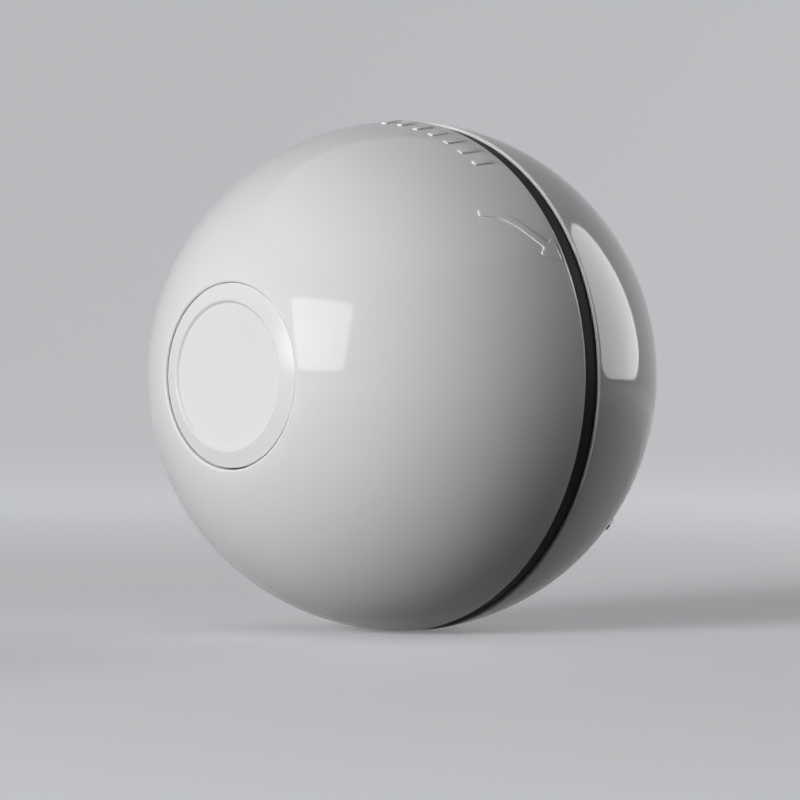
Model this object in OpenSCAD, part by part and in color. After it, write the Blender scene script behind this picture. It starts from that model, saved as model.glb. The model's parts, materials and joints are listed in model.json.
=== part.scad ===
// Self-rolling ball for cats: two white half shells that twist together over a black ring, with a fixed
// axle inside. A weighted drum hangs on the axle, and its motor walks a gear train round the axle's gear.
// Millimetres. The origin is the ball's centre, the axle lies along Y, the twist-off half faces -Y, Z is up.

/* [Ball] */
// Outside diameter of the closed ball
ball_d = 64; // [62:1:80]
// Wall thickness of the two half shells
shell_wall = 2; // [1.6:0.1:2.3]
// Height of the raised marks above the shell
mark_h = 0.25; // [0.15:0.05:0.4]

/* [Seam] */
// Width of the black band between the half shells
band_w = 2.3; // [1.6:0.1:3]
// How far the band lies below the ball's surface
band_sink = 0.4; // [0.2:0.1:1]
// Open line between the band and the twist-off half
seam_gap = 0.15; // [0.1:0.05:0.4]
// Chamfer round the open edge of each half shell
lip_chamfer = 0.3; // [0.2:0.1:0.6]
// Distance the twist-off half moves out in one turn
twist_lead = 30; // [24:1:36]
// Number of lugs on the black ring
lug_count = 3; // [2:1:4]

/* [Poles] */
// Radius of the round hole at each pole
pole_hole_r = 11.25; // [10.5:0.25:12.5]
// Radius of the flat disc sunk in each pole cap
pole_disc_r = 8.8; // [7:0.1:9.2]
// Depth of that disc below the cap's ring
pole_disc_depth = 0.4; // [0.2:0.1:0.6]

/* [Drum] */
// Length of the inner drum along the axle
drum_len = 30; // [29.5:0.5:31]
// Wall thickness of the drum
drum_wall = 1.5; // [1.2:0.1:1.7]
// Thickness of the drum's front cover
cover_t = 1.8; // [1.6:0.1:2]
// Diameter of the axle
axle_d = 3; // [2.8:0.1:3.2]

/* [Gear train] */
// Module of all the gears
gear_module = 0.5; // [0.46:0.01:0.51]
// Teeth of the three large gears
wheel_teeth = 36; // [34:1:37]
// Teeth of the small gears behind them
small_teeth = 12; // [12:1:13]
// Teeth of the motor's pinion
pinion_teeth = 10; // [10:1:11]
// Thickness of one layer of gears
gear_t = 1.8; // [1.5:0.1:1.9]

/* [Drive and power] */
// Diameter of the motor
motor_d = 12; // [11:0.5:12.5]
// Free length between the motor's terminals and the drum's cover
motor_end_room = 0.6; // [0.5:0.1:3]
// Width of the battery cell
battery_w = 17; // [14:0.5:17.5]
// Height of the battery cell
battery_h = 10; // [8:0.5:11]
// Free length in front of the battery cell for its leads
cell_lead_room = 2.8; // [2.7:0.1:6]

/* [Front panel] */
// Width of the circuit board
board_w = 27; // [26:0.5:28]
// Height of the circuit board
board_h = 14.5; // [14:0.5:15]
// Radius of the power button
button_r = 3; // [2.6:0.1:3.4]
// Travel of the power button
button_travel = 0.5; // [0.3:0.1:0.6]
// Radius of the lamp
lamp_r = 2.5; // [2:0.1:2.7]

/* [Hidden] */
$fn = 64;
// How far a cutting shape runs past the face it opens
over = 0.2;
// How far a joined shape runs into its neighbour
sink = 0.3;
// Radial clearance of a pin or shaft that turns
run_fit = 0.05;
// Radial clearance of a piece pressed or screwed in place
press_fit = 0.02;
// Radial clearance of a screw through a plate
screw_clear = 0.15;

// Shells and black ring
ball_r = ball_d / 2;
shell_in_r = ball_r - shell_wall;
band_half = band_w / 2;
front_lip = band_half + seam_gap;
back_lip = band_half;
band_r = ball_r - band_sink;
collar_t = 1.4;
collar_bore_r = shell_in_r - collar_t;
collar_end = sqrt(pow(shell_in_r, 2) - pow(collar_bore_r, 2)) + sink;
twist_clear = 0.2;
spigot_t = 1.8;
spigot_r = collar_bore_r - twist_clear;
spigot_len = 7;
fixed_spigot_r = collar_bore_r - run_fit;
fixed_spigot_len = 5;
ring_in_r = spigot_r - spigot_t;
lug_r = 1.2;
lug_reach = 1.1;
lug_in = 3.7;
lug_f = front_lip + lug_in;
lug_top_r = spigot_r + lug_reach;
lug_clear = 0.25;
lug_turn = 20;
groove_half = lug_r + lug_clear;
groove_r = lug_top_r + lug_clear;
groove_half_angle = groove_half * 360 / twist_lead;
groove_steps = 6;
groove_slices = 12;
groove_points = 2 * (groove_steps + 1);
seal_r = 0.5;
seal_gap = 0.1;
seal_ring_r = collar_bore_r - seal_gap - seal_r;
seal_f = band_half + 1.3;
seal_groove_half = 0.6;
barb_count = 4;
barb_w = 5;
barb_h = 1.4;
barb_reach = 0.7;
barb_f = band_half + 2.2;
barb_clear = 0.15;

// Poles
pole_mouth = sqrt(pow(ball_r, 2) - pow(pole_hole_r, 2));
pole_chamfer = 0.45;
pole_flare = ball_r - pole_mouth + pole_chamfer + over;
cap_clear = 0.12;
cap_sunk = 0.35;
cap_r = pole_hole_r - cap_clear;
cap_crown_r = ball_r - cap_sunk;
cap_edge = sqrt(pow(cap_crown_r, 2) - pow(cap_r, 2));
cap_chamfer = 0.25;
cap_room_r = 5.6;
cap_room_h = 1.05;
pocket_deep = 2.7;
pocket_floor = pole_mouth - pocket_deep;
plate_t = 1.6;
plate_in = pocket_floor - plate_t;
disc_level = sqrt(pow(cap_crown_r, 2) - pow(pole_disc_r, 2)) - pole_disc_depth;
rib_count = 6;
rib_t = 1.2;
rib_h = 4;
rib_start = 4;

// Drum and axle
drum_half = drum_len / 2;
drum_clear = 0.8;
drum_r = ring_in_r - drum_clear;
drum_in_r = drum_r - drum_wall;
drum_chamfer = 1;
// The drive is laid out for a drum of this inside radius, and keeps its share of a smaller or larger one
layout_r = 24.3;
share = drum_in_r / layout_r;
floor_t = 1.4;
tub_floor = -drum_half + floor_t;
cover_back = drum_half - cover_t;
rim_t = 1;
rim_h = 1.2;
rim_clear = 0.1;
ledge_t = 1.4;
gear_room_r = drum_in_r - ledge_t;
post_r = 1.9;
post_short = 0.1;
post_at = drum_in_r - 1.6;
post_turns = [45, 135, 225, 315];
axle_r = axle_d / 2;
axle_flat = axle_r - 0.5;
bearing_r = axle_r + 1;
bearing_flange_r = axle_r + 2.1;
bearing_flange_t = 0.8;
bearing_end = drum_half + bearing_flange_t;
end_float = 0.08;
washer_t = 0.5;
clip_t = 0.5;
clip_neck_r = axle_r - 0.4;
clip_r = axle_r + 1.7;
clip_f = bearing_end + end_float;
clip_mouth = 1.6;
back_boss_end = bearing_end + washer_t + 2 * end_float;
boss_r = 5.2;
bush_r = 3.5;
bush_flange_r = 4.6;
bush_flange_t = 0.8;
bush_start = clip_f + clip_t + 0.8;
front_boss_end = bush_start + bush_flange_t + run_fit;
bush_end = pocket_floor + 0.72;
bush_neck_r = bush_r - 0.6;
bush_room = 0.6;
bush_clip_t = 0.46;
bush_clip_f = pocket_floor + 0.04;
axle_front = plate_in - 1.6;
axle_back = plate_in - 0.6;
flat_front = bush_start - 0.2;
flat_back = back_boss_end - 0.1;

// Screws
screw_r = 1;
screw_head_r = 1.8;
screw_head_t = 0.9;
screw_head_room = 1;
small_screw_r = 0.8;
small_head_r = 1.3;
small_head_t = 0.9;
drum_screw_len = 8;
plate_screw_len = 4.5;
axle_screw_len = 5;
axle_thread_len = 6;
board_screw_len = 4;
motor_screw_len = 2.3;

// Gear train
pressure_angle = 25;
tooth_top = 0.8;
tooth_root = 1.05;
backlash = 0.07;
flank_steps = 3;
floor_gap = 0.4;
layer_gap = 0.3;
layer_three = tub_floor + floor_gap;
layer_two = layer_three + gear_t + layer_gap;
layer_one = layer_two + gear_t + layer_gap;
plate_back = layer_one + gear_t + floor_gap;
gear_plate_t = 1.2;
plate_front = plate_back + gear_plate_t;
tooth_module = gear_module * share;
wheel_small = (wheel_teeth + small_teeth) * tooth_module / 2;
wheel_pinion = (wheel_teeth + pinion_teeth) * tooth_module / 2;
second_turn = -50;
first_turn = 190;
motor_turn = 150;
second_at = wheel_small * [cos(second_turn), sin(second_turn)];
first_at = second_at + wheel_small * [cos(first_turn), sin(first_turn)];
motor_at = first_at + wheel_pinion * [cos(motor_turn), sin(motor_turn)];
half_turn = 180;
pin_r = 0.75;
pin_boss_r = 1.6;
pin_seat = 1;
pin_gap = 0.1;
plate_post_r = 1.9 * share;
plate_post_room = 0.35;
upper_post_at = post_at - post_r - plate_post_r - plate_post_room;
lower_post_at = gear_room_r - plate_post_r - plate_post_room;
lower_post_turn = -79.5;
plate_post_spots = [
    polar(upper_post_at, post_turns[0]),
    polar(upper_post_at, post_turns[1]),
    polar(lower_post_at, lower_post_turn)
];
plate_clear = 0.1;
post_notch = 0.2;
axle_pass_r = axle_r + 0.8;

// Motor, battery and ballast
drive_room = cover_back - plate_front;
motor_r = motor_d / 2 * share;
motor_flat = motor_r - 1;
motor_cap_t = 1.6;
terminal_size = [1.6, 0.4, 1.6];
motor_len = drive_room - motor_cap_t - terminal_size[2] - motor_end_room;
motor_back = plate_front + motor_len;
motor_cap_in = 0.1;
motor_nose_r = 2;
motor_nose_t = 0.8;
motor_screw_at = motor_r - 1.5;
motor_wall = 0.8;
motor_face_t = 1.2;
motor_shaft_r = 0.75;
motor_shaft_end = motor_back + 0.6;
armature_r = motor_flat - motor_wall - 0.5;
armature_inset = 3;
collar_clear = 0.1;
motor_collar_t = 1.1;
motor_collar_h = 4;
terminal_at = 2.6;
cell_w = battery_w * share;
cell_h = battery_h * share;
cell_depth = 6.9 * share;
battery_left = -5 * share;
battery_floor = cell_depth - drum_in_r;
battery_top = battery_floor + cell_h;
pad_t = 1;
battery_len = drive_room - pad_t - cell_lead_room;
tray_t = 1.2;
tray_h = 5;
tray_clear = 0.15;
ballast_left = -8 * share;
ballast_right = 13.6 * share;
ballast_gap = 0.2;
ballast_clear = 0.15;
ballast_start = plate_front + small_head_t + ballast_gap;
ballast_short = 1;
ballast_end = cover_back - rim_h - ballast_short;

// Front panel
board_half = board_w / 2 * share;
board_up = board_h * share;
board_low = 2.8 * share;
board_t = 1;
board_room = 5;
board_f = cover_back - board_room;
board_post_r = 1.8;
board_post_spots = share * [[11, 14.6], [-11, 14.6]];
port_at = share * [0, 10.4];
port_size = [8.94, 3.26];
port_corner = 0.9;
port_wall = 0.3;
port_clear = 0.22;
port_end = drum_half - 0.2;
tongue_size = [6.7, 0.7];
tongue_base = 0.8;
tongue_len = 5.2;
button_at = share * [9.6, 8.5];
switch_size = 6;
switch_h = 3.5;
plunger_r = 1.75;
plunger_in = 0.5;
switch_bore = plunger_in + button_travel + 0.2;
button_clear = 0.2;
button_flange_r = button_r + 0.9;
button_flange_t = 0.55;
button_gap = 0.1;
button_out = button_travel + 0.3;
plunger_top = cover_back - button_gap - button_flange_t;
switch_top = board_f + switch_h;
lamp_at = share * [-9.6, 8.5];
lamp_clear = 0.15;
lamp_flange = 0.4;
lamp_flange_t = 1;
lamp_dome_r = lamp_r * 1.2;
lamp_dome_f = drum_half - 1.5;
signal_at = share * [0, 15.1];
signal_r = 1.4;
signal_out = 0.3;
chip_at = share * [0, 5.4];
chip_size = [5, 3.8, 1.4];
small_chip_spots = share * [[-5.2, 4.6], [-5.2, 6.6], [4.2, 6.6], [-6.4, 13.2], [5.8, 13.2]];
small_chip_size = [1.6, 1, 0.8];
lead_r = 0.45;
lead_sides = 8;
lead_gap = 0.05;
lead_start_f = motor_back + motor_cap_t + 0.9;
lead_high = board_f + 3.2;
lead_mid = board_f + 2.4;
lead_low = board_f + 1.3;

// Raised marks: on the twist-off half a row of grip bars and an arrow that shows which way it closes, on
// the fixed half one index bar
bar_w = 0.9;
front_bar_turns = [55, 60, 65, 70, 75, 80, 85];
front_bar_f = 3.2;
front_bar_len = 3;
back_bar_turns = [43.5];
back_bar_f = 16.2;
back_bar_len = 2;
arrow_deep = 1.5;
arrow_turn = 33;
arrow_tilt = 79.2;
arrow_outline = [
    [-5.15, 3.3], [-2.65, 2.55], [-1.05, 1.15], [0.4, -0.5], [1.8, -2.3], [0.8, -3.1], [4, -4.3],
    [3.6, -0.9], [2.6, -1.7], [1.2, 0.1], [-0.35, 1.85], [-2.15, 3.45], [-4.85, 4.3]
];

// Middle lines of the leads: across, up and forward
function lay(across, up, forward) = [share * across, share * up, forward];
motor_red_line = [
    [motor_at[0] - terminal_at, motor_at[1] + 0.2, lead_start_f],
    [motor_at[0] - terminal_at, motor_at[1] + 2.4, lead_start_f],
    lay(-16.2, -1.2, lead_start_f - 0.1),
    lay(-15.2, 1.4, lead_high),
    lay(-13.2, 3.6, lead_mid),
    lay(-12.2, 4.6, lead_low),
    lay(-12.2, 4.6, board_f)
];
motor_black_line = [
    [motor_at[0] + terminal_at, motor_at[1] + 0.2, lead_start_f],
    [motor_at[0] + terminal_at, motor_at[1] + 2.4, lead_start_f],
    lay(-11.2, -1.2, lead_start_f - 0.1),
    lay(-10.4, 1.4, lead_high),
    lay(-9.4, 3.4, lead_mid),
    lay(-9, 4.2, lead_low),
    lay(-9, 4.2, board_f)
];
cell_front = plate_front + pad_t + battery_len;
cell_red_line = [
    [5.6 * share, battery_top - 1.4, cell_front + lead_gap],
    [5.6 * share, battery_top - 1.4, cell_front + 0.8],
    [5.6 * share, battery_top + 0.6, cell_front + 1.5],
    [5.8 * share, battery_top + 3, cell_front + 1.5],
    lay(6, -2, cell_front + 1.4),
    lay(6.2, 0.6, lead_high),
    lay(6.4, 2.9, lead_mid),
    lay(6.4, 3.9, lead_low),
    lay(6.4, 3.9, board_f)
];
cell_black_line = [
    [8.8 * share, battery_top - 1.4, cell_front + lead_gap],
    [8.8 * share, battery_top - 1.4, cell_front + 0.8],
    [8.8 * share, battery_top + 0.6, cell_front + 1.5],
    [8.8 * share, battery_top + 3, cell_front + 1.5],
    lay(8.8, -2, cell_front + 1.4),
    lay(8.8, 0.6, lead_high),
    lay(8.8, 2.9, lead_mid),
    lay(8.8, 3.9, lead_low),
    lay(8.8, 3.9, board_f)
];

white = [0.93, 0.93, 0.92];
black = [0.06, 0.06, 0.065];
grey = [0.5, 0.51, 0.53];
steel = [0.72, 0.73, 0.75];
dark_steel = [0.4, 0.41, 0.43];
bronze = [0.66, 0.5, 0.3];
nylon = [0.9, 0.88, 0.82];
board_green = [0.05, 0.3, 0.18];
cell_blue = [0.2, 0.35, 0.6];
foam_grey = [0.25, 0.25, 0.27];
red = [0.7, 0.08, 0.06];
clear_lens = [0.85, 0.9, 0.95];

// Frames: across, up and forward of the seam, or across, down and behind the seam
module front_side() {
    rotate([90, 0, 0])
        children();
}

module back_side() {
    rotate([-90, 0, 0])
        children();
}

module at_level(spot, level) {
    translate([spot[0], spot[1], level])
        children();
}

module ring_section(inner, outer, low, high) {
    translate([inner, low])
        square([outer - inner, high - low]);
}

// A full ring or disc between two levels
module turned(inner, outer, low, high) {
    rotate_extrude()
        ring_section(inner, outer, low, high);
}

module d_section(radius, flat) {
    difference() {
        circle(r = radius);
        translate([-radius, flat])
            square([2 * radius, radius]);
    }
}

module cut_corner(size, corner) {
    x = size[0] / 2;
    y = size[1] / 2;
    polygon([
        [x, y - corner], [x - corner, y], [corner - x, y], [-x, y - corner],
        [-x, corner - y], [corner - x, -y], [x - corner, -y], [x, corner - y]
    ]);
}

// Gear teeth: the half width of a tooth at a radius, as an angle
function involute(angle) = tan(angle) * 180 / PI - angle;
function half_angle(teeth, radius) =
    let (pitch_r = teeth * tooth_module / 2)
    let (base_r = pitch_r * cos(pressure_angle))
    90 / teeth - backlash * 45 / (PI * pitch_r)
        + involute(pressure_angle) - involute(acos(min(1, base_r / radius)));
function flank(teeth) =
    let (pitch_r = teeth * tooth_module / 2)
    let (low = max(pitch_r * cos(pressure_angle), pitch_r - tooth_root * tooth_module))
    let (high = pitch_r + tooth_top * tooth_module)
    [for (i = [0 : flank_steps]) low + (high - low) * i / flank_steps];
function polar(radius, angle) = radius * [cos(angle), sin(angle)];
function tooth(teeth, middle) =
    let (rows = flank(teeth))
    let (root = teeth * tooth_module / 2 - tooth_root * tooth_module)
    let (foot = half_angle(teeth, rows[0]))
    concat(
        [polar(root, middle - foot)],
        [for (i = [0 : flank_steps]) polar(rows[i], middle - half_angle(teeth, rows[i]))],
        [for (i = [flank_steps : -1 : 0]) polar(rows[i], middle + half_angle(teeth, rows[i]))],
        [polar(root, middle + foot)]
    );

// One toothed disc with a tooth in the middle of the given direction
module toothed(teeth, direction, thickness) {
    linear_extrude(height = thickness)
        polygon([
            for (i = [0 : teeth - 1])
                each tooth(teeth, direction + i * 360 / teeth)
        ]);
}

// A lead swept along its middle line with a ring of points at each place
function unit(v) = v / norm(v);
function lead_way(line, i) = unit(line[min(i + 1, len(line) - 1)] - line[max(i - 1, 0)]);
function lead_ring(line, i) =
    let (way = i == 0 ? unit(line[1] - line[0])
        : i == len(line) - 1 ? unit(line[i] - line[i - 1]) : lead_way(line, i))
    let (side = unit(cross(way, [1, 0, 0])))
    let (other = cross(way, side))
    [for (k = [0 : lead_sides - 1])
        line[i] + lead_r * (cos(k * 360 / lead_sides) * side + sin(k * 360 / lead_sides) * other)];
module lead(line) {
    last = len(line) - 1;
    rings = [for (i = [0 : last]) each lead_ring(line, i)];
    walls = [
        for (i = [0 : last - 1])
            for (k = [0 : lead_sides - 1])
                let (n = (k + 1) % lead_sides)
                let (near = i * lead_sides)
                let (far = near + lead_sides)
                each [[near + k, far + k, far + n], [near + k, far + n, near + n]]
    ];
    start = [for (k = [0 : lead_sides - 1]) k];
    end = [for (k = [lead_sides - 1 : -1 : 0]) last * lead_sides + k];
    polyhedron(points = rings, faces = concat([start], walls, [end]));
}

// Screw with its head above the level and its thread below it
module screw(radius, length, head_r, head_t) {
    translate([0, 0, -length])
        cylinder(r = radius, h = length + sink);
    cylinder(r = head_r, h = head_t);
}

// Half shells: the section shared by both
module shell_section(lip, boss_end) {
    edge_r = sqrt(pow(ball_r, 2) - pow(lip, 2));
    difference() {
        union() {
            difference() {
                intersection() {
                    circle(r = ball_r);
                    translate([0, lip])
                        square([ball_r, ball_r]);
                }
                intersection() {
                    circle(r = shell_in_r);
                    square([ball_r, plate_in]);
                }
            }
            ring_section(collar_bore_r, shell_in_r, lip, collar_end);
            ring_section(0, boss_r, boss_end, plate_in + sink);
        }
        polygon([
            [0, pocket_floor],
            [pole_hole_r, pocket_floor],
            [pole_hole_r, pole_mouth - pole_chamfer],
            [pole_hole_r + pole_flare, pole_mouth - pole_chamfer + pole_flare],
            [0, pole_mouth - pole_chamfer + pole_flare]
        ]);
        polygon([
            [edge_r - lip_chamfer - over, lip - over],
            [edge_r + lip_chamfer, lip - over],
            [edge_r + lip_chamfer, lip + 2 * lip_chamfer]
        ]);
    }
}

module shell_ribs() {
    intersection() {
        sphere(r = shell_in_r + sink);
        union() {
            for (i = [0 : rib_count - 1])
                rotate([0, 0, i * 360 / rib_count])
                    translate([rib_start, -rib_t / 2, plate_in - rib_h])
                        cube([ball_r, rib_t, rib_h + sink]);
        }
    }
}

module grip_bars(turns, level, length) {
    wall_in = sqrt(pow(shell_in_r, 2) - pow(level, 2));
    wall_out = sqrt(pow(ball_r, 2) - pow(level + length, 2));
    intersection() {
        sphere(r = ball_r + mark_h);
        union() {
            for (turn = turns)
                rotate([0, 0, turn])
                    translate([(wall_in + wall_out) / 2, -bar_w / 2, level])
                        cube([ball_r, bar_w, length]);
        }
    }
}

module closing_arrow() {
    intersection() {
        sphere(r = ball_r + mark_h);
        rotate([0, 0, arrow_turn])
            rotate([0, arrow_tilt, 0])
                translate([0, 0, ball_r - arrow_deep])
                    linear_extrude(height = 2 * arrow_deep)
                        polygon(arrow_outline);
    }
}

// Helical track that a lug follows out of the collar
module lug_track() {
    low = front_lip - over;
    high = lug_f + groove_half;
    start = (low - lug_f) * 360 / twist_lead;
    end = (high - lug_f) * 360 / twist_lead;
    inner = collar_bore_r - over;
    steps = [for (i = [0 : groove_steps]) groove_half_angle * (2 * i / groove_steps - 1)];
    translate([0, 0, low])
        linear_extrude(height = high - low, twist = start - end, slices = groove_slices, $fn = groove_points)
            polygon(concat(
                [for (angle = steps) polar(groove_r, start + angle)],
                [for (i = [groove_steps : -1 : 0]) polar(inner, start + steps[i])]
            ));
}

module lug_turns() {
    for (i = [0 : lug_count - 1])
        rotate([0, 0, lug_turn + i * 360 / lug_count])
            children();
}

// Snap barbs of the black ring, or with a clearance the pockets they sit in
module barbs(clear) {
    for (i = [0 : barb_count - 1])
        rotate([0, 0, i * 360 / barb_count])
            translate([spigot_r - spigot_t / 2, -barb_w / 2 - clear, -barb_f - barb_h / 2 - clear])
                cube([
                    spigot_t / 2 + collar_bore_r - spigot_r + barb_reach + clear,
                    barb_w + 2 * clear,
                    barb_h + 2 * clear
                ]);
}

module front_shell() {
    color(white)
        front_side()
            difference() {
                union() {
                    rotate_extrude()
                        shell_section(front_lip, front_boss_end);
                    shell_ribs();
                    grip_bars(front_bar_turns, front_bar_f, front_bar_len);
                    closing_arrow();
                }
                at_level([0, 0], front_boss_end - over)
                    cylinder(r = bush_r + run_fit, h = pocket_floor - front_boss_end + 2 * over);
                lug_turns()
                    lug_track();
            }
}

module back_shell() {
    color(white)
        difference() {
            back_side()
                union() {
                    rotate_extrude()
                        shell_section(back_lip, back_boss_end);
                    shell_ribs();
                    grip_bars(back_bar_turns, back_bar_f, back_bar_len);
                }
            front_side() {
                at_level([0, 0], -axle_back)
                    linear_extrude(height = axle_back - back_boss_end + over)
                        d_section(axle_r + press_fit, axle_flat + press_fit);
                at_level([0, 0], -pocket_floor - over)
                    cylinder(r = screw_r + screw_clear, h = pocket_floor - axle_back + 2 * over);
                barbs(barb_clear);
            }
        }
}

module pole_cap() {
    rotate_extrude()
        difference() {
            intersection() {
                circle(r = cap_crown_r);
                polygon([
                    [0, pocket_floor],
                    [cap_r, pocket_floor],
                    [cap_r, cap_edge - cap_chamfer],
                    [cap_r - 2 * cap_chamfer, cap_edge + cap_chamfer],
                    [cap_r - 2 * cap_chamfer, ball_r],
                    [0, ball_r]
                ]);
            }
            ring_section(0, pole_disc_r, disc_level, ball_r + over);
            ring_section(0, cap_room_r, pocket_floor - over, pocket_floor + cap_room_h);
        }
}

module front_pole_cap() {
    color(white)
        front_side()
            pole_cap();
}

module back_pole_cap() {
    color(white)
        back_side()
            pole_cap();
}

module mid_ring() {
    color(black)
        front_side() {
            difference() {
                rotate_extrude()
                    union() {
                        ring_section(ring_in_r, band_r, -band_half, band_half);
                        ring_section(ring_in_r, spigot_r, 0, band_half + spigot_len);
                        ring_section(ring_in_r, fixed_spigot_r, -band_half - fixed_spigot_len, 0);
                    }
                turned(seal_ring_r - seal_r - run_fit, band_r,
                    seal_f - seal_groove_half, seal_f + seal_groove_half);
            }
            lug_turns()
                translate([spigot_r - spigot_t / 2, 0, lug_f])
                    rotate([0, 90, 0])
                        cylinder(r = lug_r, h = spigot_t / 2 + lug_reach);
            barbs(0);
        }
}

module seal_ring() {
    color(dark_steel)
        front_side()
            rotate_extrude()
                translate([seal_ring_r, seal_f])
                    circle(r = seal_r);
}

module axle() {
    color(steel)
        front_side()
            difference() {
                at_level([0, 0], -axle_back)
                    cylinder(r = axle_r, h = axle_back + axle_front);
                translate([-axle_d, axle_flat, flat_front])
                    cube([2 * axle_d, axle_d, axle_front]);
                translate([-axle_d, axle_flat, -flat_back - axle_back])
                    cube([2 * axle_d, axle_d, axle_back]);
                turned(clip_neck_r, axle_d, clip_f, clip_f + clip_t);
                at_level([0, 0], -axle_back - over)
                    cylinder(r = screw_r + press_fit, h = axle_thread_len + over);
            }
}

module axle_screw() {
    color(dark_steel)
        back_side()
            at_level([0, 0], pocket_floor)
                screw(screw_r, axle_screw_len, screw_head_r, screw_head_t);
}

module axle_gear() {
    color(steel)
        front_side()
            at_level([0, 0], layer_three)
                difference() {
                    toothed(wheel_teeth, second_turn, gear_t);
                    at_level([0, 0], -over)
                        cylinder(r = axle_r + press_fit, h = gear_t + 2 * over);
                }
}

module open_clip(inner, outer, mouth, thickness) {
    linear_extrude(height = thickness)
        difference() {
            circle(r = outer);
            circle(r = inner);
            translate([-mouth / 2, 0])
                square([mouth, 2 * outer]);
        }
}

module axle_clip() {
    color(dark_steel)
        front_side()
            at_level([0, 0], clip_f + press_fit)
                open_clip(clip_neck_r + press_fit, clip_r, clip_mouth, clip_t - 2 * press_fit);
}

module thrust_washer() {
    color(nylon)
        back_side()
            turned(axle_r + run_fit, bearing_flange_r,
                bearing_end + end_float, bearing_end + end_float + washer_t);
}

module front_bush() {
    color(nylon)
        front_side()
            difference() {
                rotate_extrude()
                    union() {
                        ring_section(0, bush_flange_r, bush_start, bush_start + bush_flange_t);
                        ring_section(0, bush_r, bush_start, bush_clip_f);
                        ring_section(0, bush_neck_r, bush_start, bush_end);
                        ring_section(0, bush_r, bush_clip_f + bush_clip_t + press_fit, bush_end);
                    }
                at_level([0, 0], bush_start - over)
                    linear_extrude(height = axle_front - bush_start + bush_room + over)
                        d_section(axle_r + run_fit, axle_flat + run_fit);
            }
}

module front_bush_clip() {
    color(dark_steel)
        front_side()
            at_level([0, 0], bush_clip_f)
                open_clip(bush_neck_r + press_fit, bush_flange_r, 2 * clip_mouth, bush_clip_t);
}

module post_spots() {
    for (turn = post_turns)
        rotate([0, 0, turn])
            translate([post_at, 0, 0])
                children();
}

module plate_posts() {
    for (spot = plate_post_spots)
        translate([spot[0], spot[1], 0])
            children();
}

module drum_tub() {
    color(grey)
        front_side()
            difference() {
                union() {
                    rotate_extrude()
                        difference() {
                            polygon([
                                [0, -drum_half],
                                [drum_r - drum_chamfer, -drum_half],
                                [drum_r, drum_chamfer - drum_half],
                                [drum_r, cover_back],
                                [0, cover_back]
                            ]);
                            ring_section(0, gear_room_r, tub_floor, cover_back);
                            ring_section(0, drum_in_r, plate_back, cover_back + over);
                        }
                    post_spots()
                        at_level([0, 0], plate_back - sink)
                            cylinder(r = post_r, h = cover_back - post_short - plate_back + sink);
                    plate_posts()
                        at_level([0, 0], tub_floor - sink)
                            cylinder(r = plate_post_r, h = plate_back - tub_floor + sink);
                    at_level(first_at, tub_floor - sink)
                        cylinder(r = pin_boss_r, h = layer_two - pin_gap - tub_floor + sink);
                }
                at_level([0, 0], -drum_half - over)
                    cylinder(r = bearing_r + press_fit, h = floor_t + 2 * over);
                post_spots()
                    at_level([0, 0], cover_back - drum_screw_len)
                        cylinder(r = screw_r + press_fit, h = drum_screw_len + over);
                plate_posts()
                    at_level([0, 0], plate_back - plate_screw_len)
                        cylinder(r = small_screw_r + press_fit, h = plate_screw_len + over);
                for (spot = [first_at, second_at])
                    at_level(spot, tub_floor - pin_seat)
                        cylinder(r = pin_r + press_fit, h = layer_one - tub_floor);
            }
}

module drum_cover() {
    color(grey)
        front_side()
            difference() {
                union() {
                    rotate_extrude()
                        union() {
                            polygon([
                                [0, cover_back],
                                [drum_r, cover_back],
                                [drum_r, drum_half - drum_chamfer],
                                [drum_r - drum_chamfer, drum_half],
                                [0, drum_half]
                            ]);
                            ring_section(drum_in_r - rim_clear - rim_t, drum_in_r - rim_clear,
                                cover_back - rim_h, cover_back + sink);
                        }
                    for (spot = board_post_spots)
                        at_level(spot, board_f)
                            cylinder(r = board_post_r, h = cover_back - board_f + sink);
                }
                post_spots()
                    at_level([0, 0], cover_back - rim_h - over)
                        cylinder(r = post_r + post_notch, h = rim_h + over);
                post_spots()
                    at_level([0, 0], cover_back - over)
                        cylinder(r = screw_r + screw_clear, h = cover_t + 2 * over);
                post_spots()
                    at_level([0, 0], drum_half - screw_head_room)
                        cylinder(r = screw_head_r + screw_clear, h = screw_head_room + over);
                at_level([0, 0], cover_back - over)
                    cylinder(r = bearing_r + press_fit, h = cover_t + 2 * over);
                at_level(port_at, cover_back - over)
                    linear_extrude(height = cover_t + 2 * over)
                        cut_corner(port_size + 2 * [port_clear, port_clear], port_corner);
                at_level(button_at, cover_back - over)
                    cylinder(r = button_r + button_clear, h = cover_t + 2 * over);
                at_level(lamp_at, cover_back - over)
                    cylinder(r = lamp_r + lamp_clear, h = cover_t + 2 * over);
                at_level(signal_at, cover_back - over)
                    cylinder(r = signal_r + lamp_clear, h = cover_t + 2 * over);
                for (spot = board_post_spots)
                    at_level(spot, board_f - over)
                        cylinder(r = small_screw_r + press_fit, h = board_screw_len + over);
            }
}

module drum_screws() {
    color(dark_steel)
        front_side()
            post_spots()
                at_level([0, 0], drum_half - screw_head_room)
                    screw(screw_r, drum_screw_len, screw_head_r, screw_head_t);
}

module bearing() {
    rotate_extrude()
        union() {
            ring_section(axle_r + run_fit, bearing_r, drum_half - floor_t, bearing_end);
            ring_section(axle_r + run_fit, bearing_flange_r, drum_half, bearing_end);
        }
}

module front_bearing() {
    color(bronze)
        front_side()
            bearing();
}

module back_bearing() {
    color(bronze)
        back_side()
            bearing();
}

module motor_section(radius, flat) {
    intersection() {
        circle(r = radius);
        translate([-radius, -flat])
            square([2 * radius, 2 * flat]);
    }
}

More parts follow.
